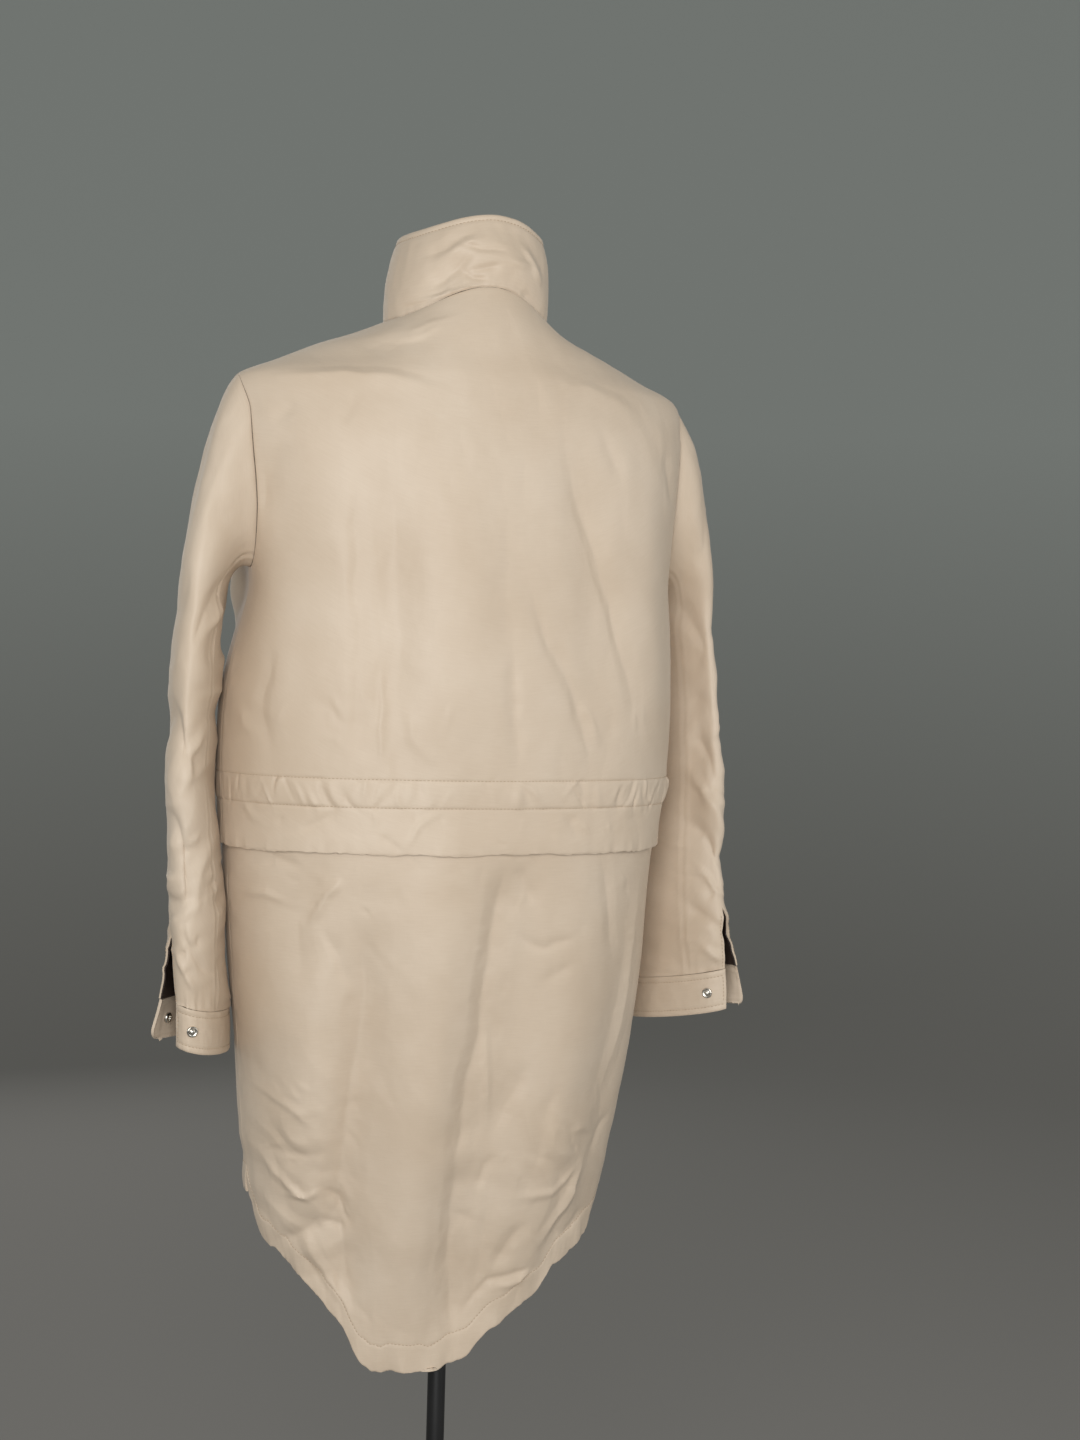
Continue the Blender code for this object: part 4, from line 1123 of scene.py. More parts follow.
@dataclass(frozen=True)
class JerseyCover:
    """Black cotton jersey stretched over the form: matt, with a fine knit rib and a little lint."""

    base: str = "#1B1B1D"
    lint: str = "#2C2C2E"
    rib_mm: float = 1.6

    def build(self) -> Material:
        """The form cover's material.

        Returns:
            The material.
        """
        material, tree, shader = new_material("cotton_jersey_black")
        place = add_node(tree, "TexCoord")
        rib = add_node(tree, "TexWave", {"bands_direction": "X", "Scale": WAVE_METRE / (self.rib_mm / MM),
                                         "Distortion": 1.5}, {"Vector": (place, "Object")})
        fluff, tone = speckle(tree, 260.0, 5.0, (0.45, self.base), (0.8, self.lint))
        lumps = add_node(tree, "Bump", {"Strength": 0.2, "Distance": 0.0005}, {"Height": (fluff, "Fac")})
        bump = add_node(tree, "Bump", {"Strength": 0.25, "Distance": 0.0004},
                        {"Height": (rib, "Fac"), "Normal": (lumps, "Normal")})
        set_node(tree, shader, {"Roughness": 0.88, "Sheen Weight": 0.3},
                 {"Base Color": (tone, "Color"), "Normal": (bump, "Normal")})
        return material


@dataclass(frozen=True)
class PowderCoat:
    """Satin black powder coat on steel: an even orange-peel skin, a little dust on top."""

    base: str = "#121213"
    dust: str = "#1D1D1E"

    def build(self) -> Material:
        """The stand's material.

        Returns:
            The material.
        """
        material, tree, shader = new_material("black_powder_coat")
        place = add_node(tree, "TexCoord")
        peel = add_node(tree, "TexNoise", {"Scale": 380.0, "Detail": 2.0}, {"Vector": (place, "Object")})
        dust, tone = speckle(tree, 14.0, 6.0, (0.4, self.base), (0.85, self.dust))
        gloss = add_node(tree, "MapRange", {"To Min": 0.36, "To Max": 0.52}, {"Value": (dust, "Fac")})
        bump = add_node(tree, "Bump", {"Strength": 0.15, "Distance": 0.0003}, {"Height": (peel, "Fac")})
        set_node(tree, shader, links={"Base Color": (tone, "Color"), "Roughness": (gloss, "Result"),
                                      "Normal": (bump, "Normal")})
        return material


@dataclass
class Wardrobe:
    """The finished materials, built once."""

    shell: Material = field(default_factory=lambda: ShellCloth().build())
    lining: Material = field(default_factory=lambda: LiningCloth().build())
    thread: Material = field(default_factory=lambda: SewingThread().build())
    nickel: Material = field(default_factory=lambda: NickelPlate().build())
    jersey: Material = field(default_factory=lambda: JerseyCover().build())
    powder: Material = field(default_factory=lambda: PowderCoat().build())


@dataclass(frozen=True)
class Cut:
    """What a piece was cut to: width, length and flat area, and how it is held."""

    width: float
    length: float
    area: float
    held: str
    rests_on: tuple[str, ...]


@dataclass(frozen=True)
class Panel:
    """A cloth panel between two seams, its points across, its width and what it was cut to."""

    name: str
    node: str
    columns: int
    width: float
    creases: tuple[Crease, ...]
    cut: Cut
    side: Side | None = None


def place_piece(piece: Object, nodes: Sequence[str] = ()) -> Object:
    """Set a finished piece on the part and report it.

    Args:
        piece: The object.
        nodes: The solids it stands for.

    Returns:
        The same object.
    """
    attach(piece, "root")
    if nodes:
        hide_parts(*nodes)
    LOG.info("%s: %d faces", piece.name, len(piece.data.polygons))
    return piece


def place_sewn(wardrobe: Wardrobe, piece: Object, node: str,
               runs: Sequence[Run], seam: str = "stitches") -> None:
    """Sew rows of stitches on a cloth piece and set both on the part.

    Args:
        wardrobe: The materials.
        piece: The cloth.
        node: The solid it stands for.
        runs: Points and outward normals along each row.
        seam: What the stitches are called, after the piece's name.
    """
    stitches = stitch_object(f"{piece.name}_{seam}", runs, wardrobe.thread)
    place_piece(stitches)
    place_piece(piece, (node,))


def seam_spacing(count: int, edge: Sequence[float]) -> Grid:
    """Shares from 0 to 1 that crowd at both ends, where a panel rolls into its seams.

    Args:
        count: How many shares in the middle.
        edge: The shares at the first edge.

    Returns:
        The shares in rising order.
    """
    edge_shares = np.array(edge)
    middle = np.linspace(edge_shares[-1] * 1.6, 1 - edge_shares[-1] * 1.6, count)
    return np.concatenate([edge_shares, middle, 1 - edge_shares[::-1]])


EDGE_SHARES = (0.0, 0.0016, 0.0036, 0.0062)


# -------- bodice
@dataclass
class Bodice:
    """Back and two fronts, from the neck seam over the gathered casing to the free flap edge."""

    wardrobe: Wardrobe
    back_columns: int = 330
    front_columns: int = 170
    seam_roll: float = 0.0004
    stitch_pinch: float = 0.0009
    gather_height: float = 0.0021
    gather_spacing: float = 0.0062
    armpit_bunch: float = 0.0215
    turned_rows: int = 10       # rows above the free edge whose inner side is turned shell cloth
    inner_step: int = 3         # the inner side keeps every third row and column
    back_width: float = 0.5
    front_width: float = 0.27
    cuts: dict[str, Cut] = field(default_factory=lambda: {
        "back": Cut(0.52, 0.54, 0.253, "gathered", ("dress_form",)),
        "front": Cut(0.29, 0.52, 0.1275, "gathered", ("dress_form",)),
    })

    def heights(self) -> Grid:
        """Row heights, close together at the neck, round the armhole and at the stitch rows.

        Returns:
            Heights from the neck seam down to the free edge.
        """
        neck = NECK_H - np.array((0.0, 0.0003, 0.0007, 0.0013, 0.0021))
        shoulder = np.linspace(NECK_H - 0.0032, SHOULDER_H, 42)[:-1]
        armhole = ARMHOLE_MIDDLE_H + ARMHOLE_HALF * np.cos(np.linspace(0, pi, 58))
        chest = np.linspace(ARMPIT_H, CASING_TOP_H + 0.006, 54)[1:]
        pinch = np.array((0.0042, 0.0026, 0.0014, 0.0005, -0.0005, -0.0014, -0.0026))
        casing = np.concatenate([CASING_TOP_H + pinch, np.linspace(CASING_TOP_H - 0.0045, CASING_BOTTOM_H + 0.0055, 6),
                                 CASING_BOTTOM_H + pinch])
        flap = np.concatenate([np.linspace(CASING_BOTTOM_H - 0.0045, FLAP_H + 0.0022, 16),
                               [FLAP_H + 0.0014, FLAP_H + 0.0007, FLAP_H + 0.0002]])
        return np.concatenate([neck, shoulder, armhole, chest, casing, flap])

    def gathers(self, angle: Grid, h: Grid) -> Grid:
        """The casing's swell, its pinched stitch rows and the small gathers that run out of it.

        Args:
            angle: Angles round the coat.
            h: Heights.

        Returns:
            Height over the body surface.
        """
        inside = np.clip((h - CASING_BOTTOM_H) / (CASING_TOP_H - CASING_BOTTOM_H), 0, 1)
        swell = CASING_PUFF * np.sin(pi * inside) ** 0.6
        around = angle * WAIST_RADIUS
        uneven = 0.65 + 0.5 * NOISE.at(around * 45, h * 0 + 3)
        pinch = -self.stitch_pinch * uneven * (bell(h - CASING_TOP_H, 0.0011) + bell(h - CASING_BOTTOM_H, 0.0011))
        above, below = ebb(h - CASING_TOP_H, 0.01), ebb(CASING_BOTTOM_H - h, 0.011)
        window = np.where(h > CASING_TOP_H, 0.45 * above, np.where(h < CASING_BOTTOM_H, 0.55 * below, 1.0))
        drawn = np.random.default_rng(11)
        total = np.zeros(np.broadcast(angle, h).shape)
        off_middle = h - CASING_MIDDLE_H
        for centre in np.arange(0.004, 2 * pi * WAIST_RADIUS, self.gather_spacing):
            centre += drawn.uniform(-0.006, 0.006)
            height = self.gather_height * drawn.uniform(0.2, 1.0) ** 1.3 * drawn.choice((1.0, -1.0, -1.0))
            width, lean = drawn.uniform(0.0014, 0.0042), drawn.uniform(-0.8, 0.8)
            bend, end = drawn.uniform(-30, 30), drawn.uniform(-0.01, 0.01)
            away = around - centre - lean * off_middle - bend * off_middle ** 2
            total += height * tent(np.abs(away) / (1.6 * width)) * bell(off_middle - end, 0.011)
        # the casing lies flat in one stretch of the back
        place = body_points(angle, h)
        flat = 1 - 0.8 * np.exp(-((place[..., 0] - 0.036) / 0.03) ** 4) * (place[..., 1] > 0)
        calm = np.clip(np.abs(np.sin(angle)) / 0.22, 0.35, 1)
        return swell * calm + pinch + total * window * flat * calm

    def flap_edge(self, angle: Grid, h: Grid) -> Grid:
        """The free edge stands off a little, waves and has small blind-hem puckers.

        Args:
            angle: Angles round the coat.
            h: Heights.

        Returns:
            Height over the body surface.
        """
        down = np.clip((CASING_BOTTOM_H - h) / (CASING_BOTTOM_H - FLAP_H), 0, 1)
        wave = 0.0012 * (1 + NOISE.at(angle * 4.5, h * 9 + 40))
        puckers = 0.0006 * NOISE.at(angle * WAIST_RADIUS / 0.006, h * 60) * ebb(h - FLAP_H, 0.006)
        fold = 0.0002 * smooth_step((FLAP_H + 0.016 - h) / 0.002)
        edge = -0.0005 * ebb(h - FLAP_H, 0.0007)
        return smooth_step(down) * wave + (h < CASING_BOTTOM_H) * (puckers + fold + edge)

    def relief(self, angle: Grid, h: Grid, panel: Panel, shares: Grid) -> Grid:
        """Everything over the smooth body surface, for one panel.

        Args:
            angle: Angles round the coat.
            h: Heights.
            panel: The panel.
            shares: Shares of the way across it.

        Returns:
            Height over the body surface.
        """
        place = body_points(angle, h)
        x, z = place[..., 0], place[..., 2]
        total = body_folds(angle, h) + self.gathers(angle, h) + self.flap_edge(angle, h)
        side = np.clip(np.abs(np.sin(angle)) / 0.25, 0.25, 1)
        edge = np.minimum(shares, 1 - shares) * panel.width
        settled = smooth_step(edge / 0.014) * smooth_step((NECK_H - h) / 0.012)
        extra = relief_sum(panel.creases, x, z) * side
        extra += 0.0005 * NOISE.at(x * 26, z * 11 + 5) + 0.0002 * NOISE.at(x * 70 + 2, z * 34)
        extra += 0.0007 * NOISE.at(edge * 90, h * 110) * ebb(edge, 0.012)
        extra += 0.0008 * NOISE.facets(22 * x + 30, 11 * z - 6 * x) + 0.0004 * NOISE.facets(50 * x + 12, 34 * z + 9 * x)
        total += extra * settled
        total += -self.seam_roll * (bell(edge, 0.0014) + bell(NECK_H - h, 0.0008))
        # the front bunches beside the left armpit
        bunch = bell(angle - radians(331), 0.16) * bell(h - 1.175, 0.034)
        total += self.armpit_bunch * bunch * smooth_step(edge / 0.03)
        return np.where(h > 1.352, np.maximum(total, -0.0032), total)

    def limits(self, h: Grid, side: Side | None) -> tuple[Grid, Grid]:
        """First and last angle of the back (no side) or of one front.

        Args:
            h: Heights.
            side: Side of a front; none for the back.

        Returns:
            The two angles at each height.
        """
        edge, middle = armhole_angle(h, side is None), np.full(h.shape, 1.5 * pi)
        if side is None:
            return edge, pi - edge
        return (middle, 2 * pi - edge) if side is Side.LEFT else (pi + edge, middle)

    def panel(self, panel: Panel) -> None:
        """Build and place one panel with its stitch rows.

        Args:
            panel: The panel.
        """
        h = self.heights()[:, None]
        shares = seam_spacing(panel.columns, EDGE_SHARES)[None, :]
        first, last = self.limits(h, panel.side)
        angle = first + (last - first) * shares
        h, shares = np.broadcast_arrays(h, shares)
        low = smooth_step((CASING_BOTTOM_H - h) / (CASING_BOTTOM_H - FLAP_H))
        h = h + low * (0.0011 * NOISE.at(angle * 9, h * 0) + 0.0006 * NOISE.at(angle * 40, h * 0 + 8))
        lift = self.relief(angle, h, panel, shares)
        normals = body_normals(angle, h)
        face = body_points(angle, h) + normals * lift[..., None]
        out = grid_normals(face)
        back = face - out * (CLOTH + lift - lowest(lift))[..., None]
        piece = wall_object(panel.name, face, back, (self.wardrobe.shell, self.wardrobe.lining),
                            back_shell_from=len(h) - self.turned_rows, coarse=self.inner_step)
        rows = [int(np.argmin(np.abs(self.heights() - level))) for level in (CASING_TOP_H, CASING_BOTTOM_H)]
        runs = [stitch_run(face, out, np.s_[row, 2:-2]) for row in rows]
        place_sewn(self.wardrobe, piece, panel.node, runs)

    def build(self) -> None:
        """All three panels."""
        self.panel(Panel("back_panel", "back_bodice", self.back_columns, self.back_width, BACK_CREASES,
                         self.cuts["back"]))
        for side in Side:
            self.panel(Panel(f"front_panel_{side.word}", f"front_bodice_{side.word}", self.front_columns,
                             self.front_width, FRONT_CREASES, self.cuts["front"], side))


# -------- skirt
@dataclass
class Skirt:
    """Back and two front skirts that hang from inside the casing to the turned-up shirt-tail hem."""

    wardrobe: Wardrobe
    back_columns: int = 330
    front_columns: int = 150
    seam_roll: float = 0.0004
    hem_flare: float = 0.006
    hem_rows: int = 14          # rows from the stitch row to the edge
    inner_step: int = 2         # the inner side keeps every second row and column
    back_rows: int = 190
    front_rows: int = 120
    back_width: float = 0.5
    front_width: float = 0.27
    # place across, top and depth of the leans at the low corners of the back
    corner_leans: tuple[tuple[float, float, float], ...] = ((0.14, 0.665, -0.007), (-0.085, 0.65, -0.006))
    cuts: dict[str, Cut] = field(default_factory=lambda: {
        "back": Cut(0.52, 0.5, 0.22, "hung", ("back_panel",)),
        "front": Cut(0.29, 0.375, 0.0927, "hung", ("front_panel_left", "front_panel_right")),
    })

    def rows(self, hem: Grid, count: int) -> Grid:
        """Row heights from the casing down to the hem, close together at its stitch row and edge.

        Args:
            hem: Heights of the hem.
            count: Rows above the hem.

        Returns:
            Rows by columns of heights.
        """
        below = np.array((0.0, 0.0004, 0.0009, 0.0018, 0.0035, 0.006, 0.009, 0.012, 0.015, 0.018, 0.021,
                          0.0232, 0.0243, 0.025, 0.0257, 0.0268, 0.029))[::-1]
        start = SKIRT_TOP_H
        body = np.linspace(0, 1, count)[:, None] * (hem[None, :] + 0.032 - start) + start
        return np.concatenate([body, hem[None, :] + below[:, None]])

    def relief(self, angle: Grid, h: Grid, hem: Grid, panel: Panel, shares: Grid) -> Grid:
        """Everything over the smooth body surface, for one skirt.

        Args:
            angle: Angles round the coat.
            h: Heights.
            hem: Heights of the hem.
            panel: The panel.
            shares: Shares of the way across it.

        Returns:
            Height over the body surface.
        """
        place = body_points(angle, h)
        x, z = place[..., 0], place[..., 2]
        side = np.clip(np.abs(np.sin(angle)) / 0.25, 0.3, 1)
        hidden = smooth_step((SKIRT_TOP_H + 0.002 - h) / 0.03)
        total = body_folds(angle, h) + relief_sum(panel.creases, x, z) * side * hidden
        total += (0.0007 * NOISE.at(x * 24 + 7, z * 9) + 0.0003 * NOISE.at(x * 60, z * 30 + 3)) * hidden
        # the low corners of the back lean in and are the most crumpled
        for middle, top, depth in self.corner_leans:
            total += depth * bell(x - middle, 0.034) * smooth_step((top - z) / 0.11) * (np.sin(angle) > 0)
        crumpled = 0.25 + (bell(x - 0.165, 0.05) + 0.8 * bell(x + 0.075, 0.06)) * bell(z - 0.64, 0.09)
        total += crumpled * hidden * (0.0022 * NOISE.facets(24 * x + 9 * z, 20 * z - 10 * x)
                                      + 0.001 * NOISE.facets(52 * x + 5, 46 * z - 20 * x))
        above = h - hem
        pull = 0.6 + 0.5 * NOISE.at(angle * 22, angle * 0 + 12)
        total += -0.0004 * pull * bell(above - HEM_DEPTH, 0.001)
        total += 0.0002 * smooth_step((HEM_DEPTH - above) / 0.0015)
        total += -0.0005 * bell(above, 0.0006)
        total += (0.0022 * NOISE.at(angle * 11, above * 18) + 0.0003 * NOISE.at(angle * 42, above * 80)
                  ) * ebb(above, 0.03)
        behind = np.clip(np.sin(angle), 0, 1)
        total += self.hem_flare * behind**3 * np.clip(1 - above / 0.07, 0, 1) ** 2
        edge = np.minimum(shares, 1 - shares) * panel.width
        total += -self.seam_roll * bell(edge, 0.0014)
        total += 0.0008 * NOISE.at(edge * 80 + 5, h * 90) * ebb(edge, 0.014) * smooth_step(edge / 0.003)
        return total

    def panel(self, panel: Panel, first: float, last: float, count: int) -> None:
        """Build and place one skirt panel with its hem stitches.

        Args:
            panel: The panel.
            first: Angle of the first edge.
            last: Angle of the last edge.
            count: Rows above the hem.
        """
        shares = seam_spacing(panel.columns, EDGE_SHARES)
        angle = first + (last - first) * shares
        settled = smooth_step(np.minimum(shares, 1 - shares) * panel.width / 0.012)
        hem = hem_height(angle) + settled * (0.003 * NOISE.at(angle * 9, angle * 0)
                                             + 0.001 * NOISE.at(angle * 31, angle * 0 + 5))
        h = self.rows(hem, count)
        angle = np.broadcast_to(angle[None, :], h.shape)
        lift = self.relief(angle, h, hem[None, :], panel, np.broadcast_to(shares[None, :], h.shape))
        face = body_points(angle, h) + body_normals(angle, h) * (lift - SKIRT_INSET)[..., None]
        out = grid_normals(face)
        back = face - out * (CLOTH + lift - lowest(lift))[..., None]
        row = len(h) - self.hem_rows
        piece = wall_object(panel.name, face, back, (self.wardrobe.shell, self.wardrobe.lining),
                            back_shell_from=row, coarse=self.inner_step)
        runs = [stitch_run(face, out, np.s_[row, 2:-2])]
        place_sewn(self.wardrobe, piece, panel.node, runs, "hem_stitches")

    def build(self) -> None:
        """All three panels."""
        self.panel(Panel("skirt_back", "back_skirt", self.back_columns, self.back_width, SKIRT_CREASES,
                         self.cuts["back"]), 0.0, pi, self.back_rows)
        for side, first, last in ((Side.LEFT, 1.5 * pi, 2 * pi), (Side.RIGHT, pi, 1.5 * pi)):
            self.panel(Panel(f"skirt_front_{side.word}", f"front_skirt_{side.word}", self.front_columns,
                             self.front_width, FRONT_CREASES, self.cuts["front"]), first, last, self.front_rows)


# -------- front strip
@dataclass
class FrontStrip:
    """The plain fly strip over the closed opening, in an upper and a lower length."""

    wardrobe: Wardrobe
    width: float = 0.056
    top_h: float = 1.412
    columns: int = 24

    def strip(self, name: str, node: str, h: Grid, lift: Callable[[Grid, Grid], Grid]) -> None:
        """Build and place one length with a stitch row inside each edge.

        Args:
            name: Piece name.
            node: The solid it stands for.
            h: Heights of its rows.
            lift: Height over the body surface at angles and heights.
        """
        half = 0.5 * self.width / BODY.at(h)[..., 1]
        shares = seam_spacing(self.columns, (0.0, 0.012, 0.03))[None, :]
        angle = 1.5 * pi + half * (2 * shares - 1)
        shares = np.broadcast_to(shares, angle.shape)
        h = np.broadcast_to(h, angle.shape)
        edge = np.minimum(shares, 1 - shares) * self.width
        up = lift(angle, h) - 0.0005 * bell(edge, 0.0008) - 0.0004 * bell(edge - 0.006, 0.0012)
        up += 0.0004 * NOISE.at(shares * 4, h * 40)
        face = body_points(angle, h) + body_normals(angle, h) * up[..., None]
        out = grid_normals(face)
        piece = wall_object(name, face, face - out * CLOTH, (self.wardrobe.shell,))
        columns = [int(np.argmin(np.abs(shares[0] - share))) for share in (0.107, 0.893)]
        place_sewn(self.wardrobe, piece, node, [stitch_run(face, out, np.s_[2:-2, c]) for c in columns])

    def build(self) -> None:
        """Both lengths, following the panels that they lie on."""
        def upper(angle: Grid, h: Grid) -> Grid:
            """Over the fronts, bridging the casing's gathers."""
            near = np.exp(-((h - CASING_MIDDLE_H) / 0.02) ** 4)
            flap = smooth_step((CASING_BOTTOM_H - h) / 0.03) * 0.0026
            return body_folds(angle, h) + LAY_GAP + CLOTH + near * 0.0042 + flap + 0.0008

        def lower(angle: Grid, h: Grid) -> Grid:
            """Over the front skirts."""
            return body_folds(angle, h) + LAY_GAP + CLOTH - SKIRT_INSET + 0.0014

        heights = np.unique(np.minimum(Bodice(self.wardrobe).heights()[::2], self.top_h))[::-1]
        heights = np.concatenate([heights[heights > FLAP_H + 0.001], [FLAP_H + 0.0006]])[:, None]
        self.strip("front_strip_upper", "placket_upper", heights, upper)
        hem = float(hem_height(np.array(1.5 * pi)))
        heights = np.linspace(FLAP_H, hem, 110)[:, None]
        self.strip("front_strip_lower", "placket_lower", heights, lower)


# -------- collar
@dataclass
class Collar:
    """The funnel collar: two layers that stand up, crumpled at the back, with a stitched top edge."""

    wardrobe: Wardrobe
    columns: int = 216
    rows: int = 58
    height: float = 0.078
    bow: float = 0.0045
    edge_stitch: float = 0.006
    cut: Cut = Cut(0.5, 0.078, 0.0388, "folded", ("back_panel", "front_panel_left", "front_panel_right"))
    creases: tuple[Crease, ...] = crease_rows(
        ((62, 1462, 42, 1473, 20, 1492), 5.5, -3.5, 1.6),
        ((38, 1481, 16, 1473, -8, 1471), 4.2, -2.6, 1.2),
        ((60, 1436, 39, 1454, 18, 1472), 5, -4.3, 1.8),
        ((82, 1414, 61, 1428, 36, 1448), 5, -3.2, 1.5),
        ((36, 1458, 25, 1447, 8, 1446), 3.4, -2.6, 1.0),
        ((30, 1452, -4, 1460), 3.8, -2.3, 1.0),
        ((72, 1426, 42, 1436, 16, 1442), 3.2, 2.3, 1.0),
        ((50, 1462, 30, 1478, 12, 1484), 6, 2.3, 1.0),
        ((-18, 1484, -34, 1466, -46, 1446), 6, 3.2, 1.4),
        ((-6, 1464, -36, 1462), 5, 1.7, 1.0),
        ((-20, 1444, -50, 1424), 5, -2, 1.0),
        ((66, 1486, 74, 1456, 80, 1420), 6, -2.3, 1.0),
    )

    def points(self, angle: Grid, rise: Grid) -> Grid:
        """Points of the collar's face: rise 0 at the neck seam, 1 at its top edge.

        Args:
            angle: Angles round the coat.
            rise: Shares of the way up.

        Returns:
            One point per place.
        """
        foot = body_points(angle, np.full(angle.shape, NECK_H)) + np.array((0, 0, 0.5 * SEAM_GAP))
        head = ring_points(np.broadcast_to(COLLAR_HEAD, angle.shape + (9,)), angle)
        base = foot + (head - foot) * rise[..., None]
        behind = np.clip(np.sin(angle) + 0.25, 0, 1)
        slow = 0.0022 * np.sin(3 * angle + 7 * rise) * np.clip(np.sin(angle), 0, None)
        lift = (self.bow + slow) * np.sin(pi * rise)
        x, z = base[..., 0], base[..., 2]
        lift += relief_sum(self.creases, x, z) * behind * smooth_step((1 - rise) / 0.06 + 0.3)
        front = np.clip(-np.sin(angle), 0, 1)
        lift += front * (0.001 * NOISE.at(angle * 6, rise * 4) + 0.0006 * NOISE.at(angle * 14, rise * 9 + 4))
        lift += 0.0004 * NOISE.at(angle * 9, rise * 5)
        down = (1 - rise) * self.height
        lift += -0.0007 * bell(down - self.edge_stitch, 0.0012)
        lift += -0.001 * bell(down, 0.0008)
        up = rise * self.height
        lift += -0.001 * bell(up, 0.0012)
        lift += 0.0007 * NOISE.at(angle * 24, up * 60) * ebb(up, 0.006)
        return base + level_out(angle) * lift[..., None]

    def build(self) -> None:
        """The collar and its top stitching."""
        gap = 0.5 * SEAM_GAP / COLLAR_HEAD[1]
        angle = np.linspace(-0.5 * pi + gap, 1.5 * pi - gap, self.columns)
        edge = np.array((0.0, 0.0006, 0.0014, 0.0026, 0.0045, 0.0052, 0.006, 0.0068, 0.008)) / self.height
        seam = np.array((0.0042, 0.0026, 0.0014, 0.0006, 0.0)) / self.height
        rise = np.concatenate([1 - edge, np.linspace(0.87, 0.08, self.rows), seam])
        angle, rise = np.meshgrid(angle, rise)
        face = self.points(angle, rise)
        out = grid_normals(face)
        inner = face - out * DOUBLE_CLOTH
        inner[0] = face[0] - level_out(angle[0]) * 0.0016
        piece = wall_object("collar_stand", face, inner, (self.wardrobe.shell,))
        row = int(np.argmin(np.abs(edge * self.height - self.edge_stitch)))
        place_sewn(self.wardrobe, piece, "collar", [stitch_run(face, out, np.s_[row, 3:-3])])


